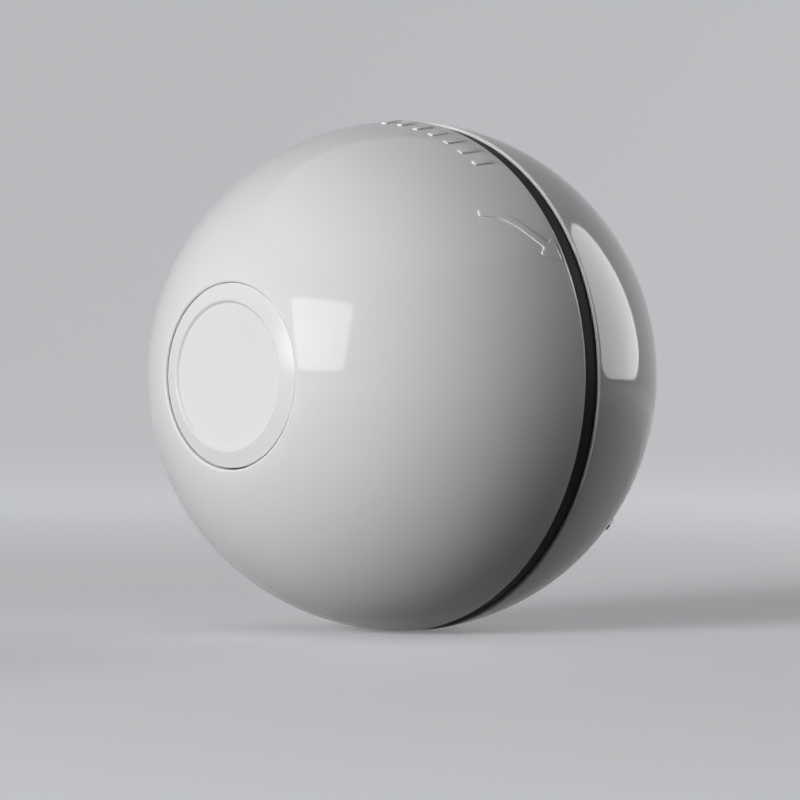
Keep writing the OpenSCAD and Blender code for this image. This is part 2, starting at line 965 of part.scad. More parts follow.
module motor_screw_spots() {
    for (side = [-1, 1])
        translate([
            motor_at[0] + side * motor_screw_at * cos(motor_turn + 90),
            motor_at[1] + side * motor_screw_at * sin(motor_turn + 90),
            0
        ])
            children();
}

module gear_plate() {
    color(white)
        front_side()
            difference() {
                union() {
                    at_level([0, 0], plate_back)
                        cylinder(r = drum_in_r - plate_clear, h = gear_plate_t);
                    at_level(second_at, layer_two + gear_t + pin_gap)
                        cylinder(r = pin_boss_r, h = plate_back - layer_two - gear_t - pin_gap + sink);
                    at_level(motor_at, plate_front - sink)
                        linear_extrude(height = motor_collar_h + sink)
                            motor_section(motor_r + collar_clear + motor_collar_t,
                                motor_flat + collar_clear + motor_collar_t);
                    translate([battery_left - tray_clear - tray_t, battery_floor, plate_front - sink])
                        cube([
                            cell_w + 2 * (tray_clear + tray_t),
                            cell_h + tray_clear + tray_t,
                            tray_h + sink
                        ]);
                }
                translate([battery_left - tray_clear, battery_floor - over, plate_front])
                    cube([cell_w + 2 * tray_clear, cell_h + tray_clear + over, tray_h + over]);
                at_level(motor_at, plate_front)
                    linear_extrude(height = motor_collar_h + over)
                        motor_section(motor_r + collar_clear, motor_flat + collar_clear);
                at_level(motor_at, plate_back - over)
                    cylinder(r = motor_nose_r + collar_clear, h = gear_plate_t + 2 * over);
                motor_screw_spots()
                    at_level([0, 0], plate_back - over)
                        cylinder(r = small_screw_r + screw_clear, h = gear_plate_t + 2 * over);
                at_level([0, 0], plate_back - over)
                    cylinder(r = axle_pass_r, h = gear_plate_t + 2 * over);
                post_spots()
                    at_level([0, 0], plate_back - over)
                        cylinder(r = post_r + post_notch, h = gear_plate_t + 2 * over);
                plate_posts()
                    at_level([0, 0], plate_back - over)
                        cylinder(r = small_screw_r + screw_clear, h = gear_plate_t + 2 * over);
                for (spot = [first_at, second_at])
                    at_level(spot, layer_two)
                        cylinder(r = pin_r + press_fit, h = plate_front - layer_two - over);
            }
}

module gear_plate_screws() {
    color(dark_steel)
        front_side()
            plate_posts()
                at_level([0, 0], plate_front)
                    screw(small_screw_r, plate_screw_len, small_head_r, small_head_t);
}

module gear_pin(spot) {
    at_level(spot, tub_floor - pin_seat)
        cylinder(r = pin_r, h = plate_front - over - tub_floor + pin_seat);
}

module first_gear_pin() {
    color(steel)
        front_side()
            gear_pin(first_at);
}

module second_gear_pin() {
    color(steel)
        front_side()
            gear_pin(second_at);
}

// Two gears in one piece: the small one behind, the large one in front
module double_gear(small_direction, large_direction) {
    difference() {
        union() {
            toothed(small_teeth, small_direction, gear_t + layer_gap);
            at_level([0, 0], gear_t + layer_gap)
                toothed(wheel_teeth, large_direction, gear_t);
        }
        at_level([0, 0], -over)
            cylinder(r = pin_r + run_fit, h = 2 * gear_t + layer_gap + 2 * over);
    }
}

module first_gear() {
    color(nylon)
        front_side()
            at_level(first_at, layer_two)
                double_gear(first_turn + half_turn + half_turn / small_teeth, motor_turn);
}

module second_gear() {
    color(nylon)
        front_side()
            at_level(second_at, layer_three)
                double_gear(second_turn + half_turn + half_turn / small_teeth, first_turn);
}

module motor_can() {
    color(steel)
        front_side()
            difference() {
                union() {
                    at_level(motor_at, plate_front)
                        linear_extrude(height = motor_len)
                            motor_section(motor_r, motor_flat);
                    at_level(motor_at, plate_front - motor_nose_t)
                        cylinder(r = motor_nose_r, h = motor_nose_t + sink);
                }
                at_level(motor_at, plate_front + motor_face_t)
                    linear_extrude(height = motor_len)
                        motor_section(motor_r - motor_wall, motor_flat - motor_wall);
                at_level(motor_at, plate_front - motor_nose_t - over)
                    cylinder(r = motor_shaft_r + run_fit, h = motor_nose_t + motor_face_t + 2 * over);
                motor_screw_spots()
                    at_level([0, 0], plate_front - over)
                        cylinder(r = small_screw_r + press_fit, h = motor_face_t + 2 * over);
            }
}

module motor_end_cap() {
    color(black)
        front_side()
            at_level(motor_at, motor_back)
                difference() {
                    linear_extrude(height = motor_cap_t)
                        motor_section(motor_r - motor_cap_in, motor_flat - motor_cap_in);
                    at_level([0, 0], -over)
                        cylinder(r = motor_shaft_r + run_fit, h = motor_shaft_end - motor_back + 2 * over);
                }
}

module motor_terminals() {
    color(bronze)
        front_side()
            for (side = [-1, 1])
                translate([
                    motor_at[0] + side * terminal_at - terminal_size[0] / 2,
                    motor_at[1] - terminal_size[1] / 2,
                    motor_back + motor_cap_t
                ])
                    cube(terminal_size);
}

module motor_screws() {
    color(dark_steel)
        front_side()
            motor_screw_spots()
                at_level([0, 0], plate_back)
                    mirror([0, 0, 1])
                        screw(small_screw_r, motor_screw_len, small_head_r, small_head_t);
}

module motor_shaft() {
    color(steel)
        front_side()
            at_level(motor_at, layer_one - over)
                cylinder(r = motor_shaft_r, h = motor_shaft_end - layer_one + over);
}

module motor_armature() {
    color(bronze)
        front_side()
            at_level(motor_at, plate_front + armature_inset)
                difference() {
                    cylinder(r = armature_r, h = motor_len - 2 * armature_inset);
                    at_level([0, 0], -over)
                        cylinder(r = motor_shaft_r + press_fit, h = motor_len);
                }
}

module motor_pinion() {
    color(bronze)
        front_side()
            at_level(motor_at, layer_one)
                difference() {
                    toothed(pinion_teeth, motor_turn + half_turn + half_turn / pinion_teeth, gear_t);
                    at_level([0, 0], -over)
                        cylinder(r = motor_shaft_r + press_fit, h = gear_t + 2 * over);
                }
}

module battery_cell() {
    color(cell_blue)
        front_side()
            translate([battery_left, battery_floor, plate_front + pad_t])
                cube([cell_w, cell_h, battery_len]);
}

module battery_pad() {
    color(foam_grey)
        front_side()
            translate([battery_left, battery_floor, plate_front])
                cube([cell_w, cell_h, pad_t]);
}

module ballast() {
    color(dark_steel)
        front_side()
            at_level([0, 0], ballast_start)
                linear_extrude(height = ballast_end - ballast_start)
                    intersection() {
                        circle(r = drum_in_r - ballast_clear);
                        translate([ballast_left, -drum_r])
                            square([ballast_right - ballast_left, drum_r + battery_floor - ballast_gap]);
                    }
}

module circuit_board() {
    color(board_green)
        front_side()
            difference() {
                translate([-board_half, board_low, board_f - board_t])
                    cube([2 * board_half, board_up, board_t]);
                for (spot = board_post_spots)
                    at_level(spot, board_f - board_t - over)
                        cylinder(r = small_screw_r + screw_clear, h = board_t + 2 * over);
            }
}

module board_screws() {
    color(dark_steel)
        front_side()
            for (spot = board_post_spots)
                at_level(spot, board_f - board_t)
                    mirror([0, 0, 1])
                        screw(small_screw_r, board_screw_len, small_head_r, small_head_t);
}

module charge_socket() {
    color(steel)
        front_side()
            at_level(port_at, board_f)
                linear_extrude(height = port_end - board_f)
                    difference() {
                        cut_corner(port_size, port_corner);
                        cut_corner(port_size - 2 * [port_wall, port_wall], port_corner);
                    }
}

module charge_tongue() {
    inside = port_size - 2 * [port_wall + press_fit, port_wall + press_fit];
    color(black)
        front_side()
            at_level(port_at, board_f) {
                linear_extrude(height = tongue_base)
                    cut_corner(inside, port_corner);
                translate([-tongue_size[0] / 2, -tongue_size[1] / 2, 0])
                    cube([tongue_size[0], tongue_size[1], tongue_len]);
            }
}

module switch_body() {
    color(black)
        front_side()
            at_level(button_at, board_f)
                difference() {
                    translate([-switch_size / 2, -switch_size / 2, 0])
                        cube([switch_size, switch_size, switch_h]);
                    at_level([0, 0], switch_h - switch_bore)
                        cylinder(r = plunger_r + 2 * run_fit, h = switch_bore + over);
                }
}

module switch_plunger() {
    color(nylon)
        front_side()
            at_level(button_at, switch_top - plunger_in)
                cylinder(r = plunger_r, h = plunger_top - switch_top + plunger_in);
}

module power_button() {
    color(white)
        front_side()
            at_level(button_at, 0)
                rotate_extrude()
                    union() {
                        ring_section(0, button_flange_r, plunger_top, plunger_top + button_flange_t);
                        ring_section(0, button_r, plunger_top, drum_half + button_out);
                    }
}

module lamp() {
    color(clear_lens)
        front_side()
            at_level(lamp_at, 0)
                rotate_extrude()
                    union() {
                        ring_section(0, lamp_r + lamp_flange, board_f, board_f + lamp_flange_t);
                        ring_section(0, lamp_r, board_f, lamp_dome_f);
                        intersection() {
                            ring_section(0, lamp_r, board_f, lamp_dome_f + 2 * lamp_r);
                            translate([0, lamp_dome_f])
                                circle(r = lamp_dome_r);
                        }
                    }
}

module signal_lamp() {
    color(clear_lens)
        front_side()
            at_level(signal_at, board_f)
                cylinder(r = signal_r, h = drum_half + signal_out - board_f);
}

module control_chip() {
    color(black)
        front_side()
            translate([chip_at[0] - chip_size[0] / 2, chip_at[1] - chip_size[1] / 2, board_f])
                cube(chip_size);
}

module small_chips() {
    color(bronze)
        front_side()
            for (spot = small_chip_spots)
                translate([spot[0] - small_chip_size[0] / 2, spot[1] - small_chip_size[1] / 2, board_f])
                    cube(small_chip_size);
}

module motor_lead_red() {
    color(red)
        front_side()
            lead(motor_red_line);
}

module motor_lead_black() {
    color(black)
        front_side()
            lead(motor_black_line);
}

module cell_lead_red() {
    color(red)
        front_side()
            lead(cell_red_line);
}

module cell_lead_black() {
    color(black)
        front_side()
            lead(cell_black_line);
}

back_shell();
back_pole_cap();
mid_ring();
seal_ring();
axle();
axle_screw();
axle_gear();
axle_clip();
thrust_washer();
front_bush();
front_bush_clip();
front_shell();
front_pole_cap();
drum_tub();
drum_cover();
drum_screws();
front_bearing();
back_bearing();
gear_plate();
gear_plate_screws();
first_gear_pin();
second_gear_pin();
first_gear();
second_gear();
motor_can();
motor_end_cap();
motor_terminals();
motor_screws();
motor_shaft();
motor_armature();
motor_pinion();
battery_cell();
battery_pad();
ballast();
circuit_board();
board_screws();
charge_socket();
charge_tongue();
switch_body();
switch_plunger();
power_button();
lamp();
signal_lamp();
control_chip();
small_chips();
motor_lead_red();
motor_lead_black();
cell_lead_red();
cell_lead_black();
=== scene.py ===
# %% [markdown]
# # A ball that rolls itself
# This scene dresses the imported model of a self-rolling ball for cats: two glossy white half shells that
# twist together over a black ring, and a weighted motor drum that hangs on a fixed axle inside.
# The frame comes first. It holds every solid at its true place in metres, so nothing has to be fitted by
# eye: the axle lies along Y, the half that twists off faces -Y, and Z is up.

# %% Load the frame
import json
import math

import bmesh
import bpy
from mathutils import Matrix, Vector

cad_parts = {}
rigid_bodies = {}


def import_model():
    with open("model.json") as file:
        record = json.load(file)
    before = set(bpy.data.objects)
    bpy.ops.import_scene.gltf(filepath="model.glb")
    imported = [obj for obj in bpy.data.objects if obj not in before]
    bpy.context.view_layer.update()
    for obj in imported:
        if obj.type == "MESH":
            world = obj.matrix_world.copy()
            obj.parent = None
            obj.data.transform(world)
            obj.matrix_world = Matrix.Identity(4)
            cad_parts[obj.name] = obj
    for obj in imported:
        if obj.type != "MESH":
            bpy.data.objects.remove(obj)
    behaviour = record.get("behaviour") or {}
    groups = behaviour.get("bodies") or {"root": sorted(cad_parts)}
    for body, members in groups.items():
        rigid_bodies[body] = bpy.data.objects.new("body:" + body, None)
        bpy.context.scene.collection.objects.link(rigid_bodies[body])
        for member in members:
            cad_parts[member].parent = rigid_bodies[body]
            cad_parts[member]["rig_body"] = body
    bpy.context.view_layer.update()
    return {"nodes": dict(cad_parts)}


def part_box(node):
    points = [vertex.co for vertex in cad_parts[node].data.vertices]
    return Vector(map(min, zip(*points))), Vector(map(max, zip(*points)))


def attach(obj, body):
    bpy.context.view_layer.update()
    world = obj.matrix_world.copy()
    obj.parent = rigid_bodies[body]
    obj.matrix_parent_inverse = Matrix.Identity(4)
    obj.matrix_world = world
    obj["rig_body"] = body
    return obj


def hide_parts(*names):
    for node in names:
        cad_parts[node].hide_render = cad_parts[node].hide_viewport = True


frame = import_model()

mm = 0.001
nodes = frame["nodes"]

# %% [markdown]
# ## The camera
# The photograph looks at the ball level with its centre, a little under half way round from the front pole.
# A long lens from close to half a metre gives the same gentle perspective. Aiming at the ball's centre and
# then shifting the lens keeps the ball where it sits in the picture, a little above the middle, without
# tilting the camera.

# %% Place the camera
band_sink = 0.4 * mm
ball_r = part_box("mid_ring")[1].x + band_sink
view_turn = math.radians(44.2)
view_distance = 464 * mm
to_right = Vector((math.cos(view_turn), math.sin(view_turn), 0))
to_camera = Vector((math.sin(view_turn), -math.cos(view_turn), 0))
upward = Vector((0, 0, 1))

lens = bpy.data.cameras.new("photo_camera")
lens.lens = 166
lens.sensor_width = 36
lens.shift_x = -0.0026
lens.shift_y = -0.030
lens.clip_start = 10 * mm
camera = bpy.data.objects.new("photo_camera", lens)
camera.location = to_camera * view_distance
camera.rotation_euler = (math.pi / 2, 0, view_turn)
bpy.context.scene.collection.objects.link(camera)
bpy.context.scene.camera = camera
bpy.context.scene.view_settings.view_transform = "Standard"
print(f"camera: {view_distance:.3f} m from a ball of {2 * ball_r / mm:.1f} mm")

# %% [markdown]
# ## The floor and backdrop
# A photographer lays a sweep of pale paper that rises behind the subject, so that no horizon shows. Here the
# sweep goes all the way round: one outline, a floor line with a quarter circle and a wall, is spun about Z.
# Its material shows a pale grey to the camera and in reflections, and answers other rays as a darker paper,
# so that the floor throws little light up under the ball and its shadow side stays a shadow side. The lamps
# hardly reach the far wall, so the paper there glows faintly, again only for rays that are looked along.


# %% Helpers that spin a line and make an object
merge_within = 0.001 * mm


def spun(points, axis, steps, closed):
    """Spins a line of points all the way round an axis, and joins what meets."""
    bm = bmesh.new()
    line = [bm.verts.new(point) for point in points]
    for first, second in zip(line, line[1:]):
        bm.edges.new((first, second))
    if closed:
        bm.edges.new((line[-1], line[0]))
    bmesh.ops.spin(bm, geom=bm.verts[:] + bm.edges[:], axis=axis, angle=math.tau, steps=steps, use_merge=True)
    bmesh.ops.remove_doubles(bm, verts=bm.verts, dist=merge_within)
    bmesh.ops.recalc_face_normals(bm, faces=bm.faces)
    return bm


def object_of(name, bm):
    """Makes a bmesh a smooth object of the scene."""
    mesh = bpy.data.meshes.new(name)
    bm.to_mesh(mesh)
    bm.free()
    mesh.shade_smooth()
    made = bpy.data.objects.new(name, mesh)
    bpy.context.scene.collection.objects.link(made)
    return made


# %% Spin the sweep
floor_r = 1.1
sweep_r = 0.5
wall_top = 1.6
floor_z = -ball_r
sweep_steps = 12
sweep_outline = [(0, floor_z), (floor_r / 2, floor_z)]
for step in range(sweep_steps + 1):
    turn = math.pi / 2 * step / sweep_steps
    sweep_outline.append((floor_r + sweep_r * math.sin(turn), floor_z + sweep_r * (1 - math.cos(turn))))
sweep_outline.append((floor_r + sweep_r, wall_top))

sweep_points = [(radius, 0, height) for radius, height in sweep_outline]
sweep = object_of("paper_sweep", spun(sweep_points, upward, 96, closed=False))
print("sweep:", len(sweep.data.polygons), "faces, floor at", round(floor_z / mm, 2), "mm")


# %% Paper that is pale to the eye only
def set_inputs(node, **values):
    """Sets a node's inputs by their names, with _ for a space, and gives the node back."""
    for name, value in values.items():
        node.inputs[name.replace("_", " ")].default_value = value
    return node


def new_material(name, **constants):
    """A material with constants on its shader's own sockets, its node tree and that shader."""
    material = bpy.data.materials.new(name)
    material.use_nodes = True
    shader = set_inputs(material.node_tree.nodes["Principled BSDF"], **constants)
    return material, material.node_tree, shader


def feed(tree, socket, source):
    """Links a socket to its source, or sets it where the source is a plain value."""
    if isinstance(source, bpy.types.NodeSocket):
        tree.links.new(source, socket)
    else:
        socket.default_value = source


# The colour sockets of a Mix node share their names with others, so they are found by number.
mix_factor = 0
mix_from = 6
mix_to = 7
mix_result = 2


def mixed(tree, factor, first, second):
    """A colour between two others, each a plain colour or a socket."""
    mix = tree.nodes.new("ShaderNodeMix")
    mix.data_type = "RGBA"
    tree.links.new(factor, mix.inputs[mix_factor])
    feed(tree, mix.inputs[mix_from], first)
    feed(tree, mix.inputs[mix_to], second)
    return mix.outputs[mix_result]


def seen_ray(tree):
    """A factor of 1 for rays from the camera, mirrors and glass, and 0 for light that bounces on."""
    path = tree.nodes.new("ShaderNodeLightPath")
    mirror = tree.nodes.new("ShaderNodeMath")
    glass = tree.nodes.new("ShaderNodeMath")
    for join, first, second in ((mirror, path.outputs["Is Camera Ray"], path.outputs["Is Glossy Ray"]),
                                (glass, mirror.outputs[0], path.outputs["Is Transmission Ray"])):
        join.operation = "MAXIMUM"
        tree.links.new(first, join.inputs[0])
        tree.links.new(second, join.inputs[1])
    return glass.outputs[0]


paper_pale = (0.78, 0.79, 0.81, 1)
paper_dim = (0.05, 0.05, 0.052, 1)
floor_glow = 0.22
wall_glow = 0.6
paper, tree, surface = new_material("pale_paper", Roughness=0.9, Specular_IOR_Level=0.1,
                                    Emission_Color=paper_pale)
seen = seen_ray(tree)
tree.links.new(mixed(tree, seen, paper_dim, paper_pale), surface.inputs["Base Color"])
place = tree.nodes.new("ShaderNodeTexCoord")
reach = tree.nodes.new("ShaderNodeVectorMath")
reach.operation = "LENGTH"
fade = set_inputs(tree.nodes.new("ShaderNodeMapRange"), From_Min=ball_r, From_Max=floor_r / 2,
                  To_Min=floor_glow, To_Max=wall_glow)
fade.interpolation_type = "SMOOTHSTEP"
glow = tree.nodes.new("ShaderNodeMath")
glow.operation = "MULTIPLY"
tree.links.new(place.outputs["Object"], reach.inputs[0])
tree.links.new(reach.outputs["Value"], fade.inputs["Value"])
tree.links.new(fade.outputs["Result"], glow.inputs[0])
tree.links.new(seen, glow.inputs[1])
tree.links.new(glow.outputs[0], surface.inputs["Emission Strength"])
sweep.data.materials.append(paper)
print("paper:", paper.name)

# %% [markdown]
# ## The lights
# Two soft boxes light the ball in the photograph. The reflection left of the middle of the front shell tells
# where the first one stands: in front, to the left and a little higher than the ball. The bright patch on the
# back shell places the second, on the right and behind. A weak panel above and a low world stand for the
# light that the room gives back. On a ball of a few centimetres a lamp needs only about a watt. Like a box
# with a grid in front, each keeps its light to a cone about the ball, so that the paper near it doesn't
# glare. Such a lamp fades towards its edges, but in the photograph the boxes are mirrored evenly and with
# crisp outlines. So the gloss mirrors a card with round corners, which only reflections see. The cards stand
# where the reflections say, and the lamps a little farther round, because the pale paper already fills the
# shadow side.


# %% Hang the soft boxes
def facing_ball(right, up, near, distance):
    """A place that looks at the ball from a direction given as the camera sees it."""
    direction = (to_right * right + upward * up + to_camera * near).normalized()
    return Matrix.Translation(direction * distance) @ direction.to_track_quat("Z", "Y").to_matrix().to_4x4()


grid_cone = math.radians(60)


def soft_box(name, place, width, height, watts):
    """An area lamp with a grid, kept out of reflections."""
    lamp = bpy.data.lights.new(name, "AREA")
    lamp.shape = "RECTANGLE"
    lamp.size = width
    lamp.size_y = height
    lamp.energy = watts
    lamp.spread = grid_cone
    box = bpy.data.objects.new(name, lamp)
    box.matrix_world = place
    box.visible_glossy = False
    bpy.context.scene.collection.objects.link(box)
    print(f"{name}: {width} x {height} m, {watts} W")


def mirror_card(name, place, width, height, corner, glow):
    """The bright front of a soft box: a plane with round corners that only reflections see."""
    bm = bmesh.new()
    bmesh.ops.create_grid(bm, x_segments=1, y_segments=1, size=0.5,
                          matrix=Matrix.Diagonal((width, height, 1, 1)))
    bmesh.ops.bevel(bm, geom=bm.verts[:], offset=corner, segments=8, profile=0.5, affect="VERTICES",
                    material=-1)
    bmesh.ops.transform(bm, matrix=place, verts=bm.verts)
    card = object_of(name, bm)
    white, _, _ = new_material(name, Emission_Color=(1, 1, 1, 1), Emission_Strength=glow)
    card.data.materials.append(white)
    card.visible_camera = False
    card.visible_diffuse = False
    card.visible_transmission = False
    card.visible_shadow = False


soft_box("key_box", facing_ball(-0.696, 0.216, 0.684, 1.0), 0.5, 0.3, 1.19)
soft_box("rim_box", facing_ball(0.80, 0.27, -0.54, 0.8), 0.52, 0.50, 0.34)
soft_box("top_panel", facing_ball(-0.35, 0.9, 0.25, 1.0), 0.9, 0.7, 0.05)
mirror_card("key_card", facing_ball(-0.61, 0.29, 0.74, 0.8), 0.43, 0.42, 0.05, 3.2)
mirror_card("rim_card", facing_ball(0.86, 0.30, -0.40, 0.8), 0.52, 0.53, 0.12, 3.3)

world = bpy.data.worlds.new("studio")
world.use_nodes = True
bpy.context.scene.world = world
room_light = (0.035, 0.035, 0.037, 1)
tree = world.node_tree
tree.links.new(mixed(tree, seen_ray(tree), room_light, paper_pale), tree.nodes["Background"].inputs["Color"])
print("world:", world.name)

# %% [markdown]
# ## Finishes
# Nothing moulded or turned has one flat colour. Moulded plastic carries a faint unevenness from its tool, and
# handling leaves it a little duller in places. Three effects are shared by many materials, so each is a
# node group with its own inputs: the skin of moulded plastic, the marks of handling, and the fine lines that
# a cutter leaves on metal. The shader itself stays in each material, where the export can read it.


# %% Node groups for skin, handling and tool lines
def effect_group(name, inputs, outputs):
    """An empty node group with named number inputs and outputs, and its two end nodes."""
    group = bpy.data.node_groups.new(name, "ShaderNodeTree")
    for label, value in inputs.items():
        socket = group.interface.new_socket(name=label, in_out="INPUT", socket_type="NodeSocketFloat")
        socket.default_value = value
    for label in outputs:
        group.interface.new_socket(name=label, in_out="OUTPUT", socket_type="NodeSocketFloat")
    return group, group.nodes.new("NodeGroupInput"), group.nodes.new("NodeGroupOutput")


def noise_in(tree, detail, stretch=(1, 1, 1)):
    """A noise texture on Object coordinates, stretched by a mapping."""
    place = tree.nodes.new("ShaderNodeTexCoord")
    mapping = set_inputs(tree.nodes.new("ShaderNodeMapping"), Scale=stretch)
    noise = set_inputs(tree.nodes.new("ShaderNodeTexNoise"), Detail=detail)
    tree.links.new(place.outputs["Object"], mapping.inputs["Vector"])
    tree.links.new(mapping.outputs["Vector"], noise.inputs["Vector"])
    return noise


def spread(tree, value, low, high):
    """Maps the middle of a noise to a range given by two sockets or numbers."""
    node = set_inputs(tree.nodes.new("ShaderNodeMapRange"), From_Min=0.3, From_Max=0.7)
    tree.links.new(value, node.inputs["Value"])
    feed(tree, node.inputs["To Min"], low)
    feed(tree, node.inputs["To Max"], high)
    return node.outputs["Result"]


skin, start, end = effect_group("moulded_skin", {"Patch": 60, "Grain": 900, "Smooth": 0.2, "Rough": 0.3},
                                ("Roughness", "Height"))
patches, grain = noise_in(skin, 3), noise_in(skin, 2)
skin.links.new(start.outputs["Patch"], patches.inputs["Scale"])
skin.links.new(start.outputs["Grain"], grain.inputs["Scale"])
skin.links.new(spread(skin, patches.outputs["Fac"], start.outputs["Smooth"], start.outputs["Rough"]),
               end.inputs["Roughness"])
skin.links.new(grain.outputs["Fac"], end.inputs["Height"])

handling, start, end = effect_group("handling_marks", {"Size": 45, "Amount": 0.5}, ("Mask",))
smudges = noise_in(handling, 6)
handling.links.new(start.outputs["Size"], smudges.inputs["Scale"])
handling.links.new(spread(handling, smudges.outputs["Fac"], 0, start.outputs["Amount"]), end.inputs["Mask"])

tool_lines, start, end = effect_group("tool_lines", {"Fine": 700, "Smooth": 0.2, "Rough": 0.4},
                                      ("Roughness", "Height"))
lines = noise_in(tool_lines, 2, (1, 0.08, 1))
tool_lines.links.new(start.outputs["Fine"], lines.inputs["Scale"])
line_roughness = spread(tool_lines, lines.outputs["Fac"], start.outputs["Smooth"], start.outputs["Rough"])
tool_lines.links.new(line_roughness, end.inputs["Roughness"])
tool_lines.links.new(lines.outputs["Fac"], end.inputs["Height"])
print("node groups:", [group.name for group in bpy.data.node_groups])


# %% One builder for the finishes
def finish(name, colour, handled, relief, group, constants, **settings):
    """A material whose colour drifts where it is handled, with roughness and relief from a node group."""
    material, tree, shader = new_material(name, **constants)
    surface = tree.nodes.new("ShaderNodeGroup")
    surface.node_tree = group
    set_inputs(surface, **settings)
    wear = tree.nodes.new("ShaderNodeGroup")
    wear.node_tree = handling
    tint = mixed(tree, wear.outputs["Mask"], (*colour, 1), (*handled, 1))
    bump = set_inputs(tree.nodes.new("ShaderNodeBump"), Strength=0.6, Distance=relief * mm)
    tree.links.new(tint, shader.inputs["Base Color"])
    tree.links.new(surface.outputs["Roughness"], shader.inputs["Roughness"])
    tree.links.new(surface.outputs["Height"], bump.inputs["Height"])
    tree.links.new(bump.outputs["Normal"], shader.inputs["Normal"])
    return material


def moulded(name, colour, handled, relief, patch, grain, smooth, rough, **constants):
    """A skin from a mould: relief in millimetres, fineness of its patches and grain, range of roughness."""
    return finish(name, colour, handled, relief, skin, constants, Patch=patch, Grain=grain, Smooth=smooth,
                  Rough=rough)


def machined(name, colour, handled, relief, fine, smooth, rough):
    """A metal with tool lines: relief in millimetres, fineness of its lines, range of roughness."""
    return finish(name, colour, handled, relief, tool_lines, {"Metallic": 1.0}, Fine=fine, Smooth=smooth,
                  Rough=rough)


gloss_white = moulded("gloss_white", (0.80, 0.805, 0.815), (0.77, 0.775, 0.78), 0.004, 70, 260, 0.05, 0.08,
                      IOR=1.53)
satin_white = moulded("satin_white", (0.80, 0.805, 0.815), (0.77, 0.775, 0.78), 0.006, 90, 900, 0.13, 0.19,
                      IOR=1.53)
matt_black = moulded("matt_black", (0.004, 0.004, 0.0043), (0.007, 0.007, 0.007), 0.02, 150, 5000, 0.42, 0.55,
                     Specular_IOR_Level=0.09)
print("finishes:", [material.name for material in (gloss_white, satin_white, matt_black)])

# %% [markdown]
# ## Turning outlines
# Most of the ball is turned: shells, caps, ring, bearings and buttons are one outline swept round the axle.
# An outline is a short list of corners, each with a radius and a distance from the seam. Real mouldings have
# no knife edges, so a third number rounds a corner with an arc that touches both of its sides. Stretches of
# the ball itself come from one arc about its centre.


# %% Helpers for outlines, turning and placing a piece
def softened(corners, steps=5):
    """Outline points from (radius, height, rounding) corners."""
    points = []
    for i, (radius, height, size) in enumerate(corners):
        here = Vector((radius, height))
        if size == 0:
            points.append(here)
            continue
        before = (Vector(corners[i - 1][:2]) - here).normalized()
        after = (Vector(corners[(i + 1) % len(corners)][:2]) - here).normalized()
        half = before.angle(after) / 2
        centre = here + (before + after).normalized() * size / math.sin(half)
        first = (here + before * size / math.tan(half) - centre).normalized()
        last = (here + after * size / math.tan(half) - centre).normalized()
        points += [centre + first.slerp(last, k / steps) * size for k in range(steps + 1)]
    return points


def ball_arc(radius, start, end, steps):
    """Corners along a circle about the ball's centre, between two distances from the seam."""
    low, high = math.asin(start / radius), math.asin(end / radius)
    turns = [low + (high - low) * k / steps for k in range(steps + 1)]
    return [(radius * math.cos(turn), radius * math.sin(turn), 0) for turn in turns]


def circle_loop(x, up, radius, steps=48):
    """Points round a circle, from its middle and its radius."""
    turns = [math.tau * k / steps for k in range(steps)]
    return [(x + radius * math.cos(turn), up + radius * math.sin(turn)) for turn in turns]


def turned(outline, facing=-1, steps=96, closed=True):
    """Spins an outline about the axle; facing -1 puts it in the front half and 1 in the back half."""
    points = [(radius, facing * height, 0) for radius, height in outline]
    return spun(points, Vector((0, 1, 0)), steps, closed)


sharp_angle = math.radians(40)


def piece(name, bm, material, node, replaces=True, flat=False):
    """Makes the mesh an object that rides with a CAD node's body, and by default stands for that node."""
    bmesh.ops.recalc_face_normals(bm, faces=bm.faces)
    made = object_of(name, bm)
    made.data.set_sharp_from_angle(angle=sharp_angle)
    made.data.materials.append(material)
    if flat:
        made.modifiers.new("large_faces_lead", "WEIGHTED_NORMAL").keep_sharp = True
    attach(made, nodes[node]["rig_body"])
    if replaces:
        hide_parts(node)
    print(f"{name}: {len(made.data.polygons)} faces")


# %% [markdown]
# ## The front half shell
# The half that twists off is a white bowl with a round pocket at its pole, a boss and six ribs behind that
# pocket, and a collar with three slanting tracks that the ring's lugs slide in. The bowl is one closed
# outline spun about the axle. The tracks are the hard part: cut with a Boolean they would leave ragged
# shading, so the rings of points inside the collar are turned step by step along the track's own slope, and
# then a track is simply a run of columns that is extruded outwards.


# %% Sizes of the shells
def forward(node):
    """Where a node starts and ends, as distances from the seam towards the front pole."""
    low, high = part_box(node)
    return -high.y, -low.y


def outer_r(node):
    """The radius of a node that is turned about the axle."""
    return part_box(node)[1].x


tiny = 0.01 * mm
cap_clear = 0.12 * mm
wall = 2 * mm
collar_t = 1.4 * mm
plate_t = 1.6 * mm
boss_r = 5.2 * mm
lip_round = 0.2 * mm
mouth_round = 0.3 * mm
mouth_room = 0.9 * mm
cap_r = outer_r("front_pole_cap")
pocket_floor, cap_top = forward("front_pole_cap")
hole_r = cap_r + cap_clear
mouth = math.sqrt(ball_r ** 2 - hole_r ** 2)
shell_in_r = ball_r - wall
collar_r = shell_in_r - collar_t
collar_top = math.sqrt(shell_in_r ** 2 - collar_r ** 2)
plate_in = pocket_floor - plate_t
front_lip, _ = forward("front_shell")
back_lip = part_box("back_shell")[0].y


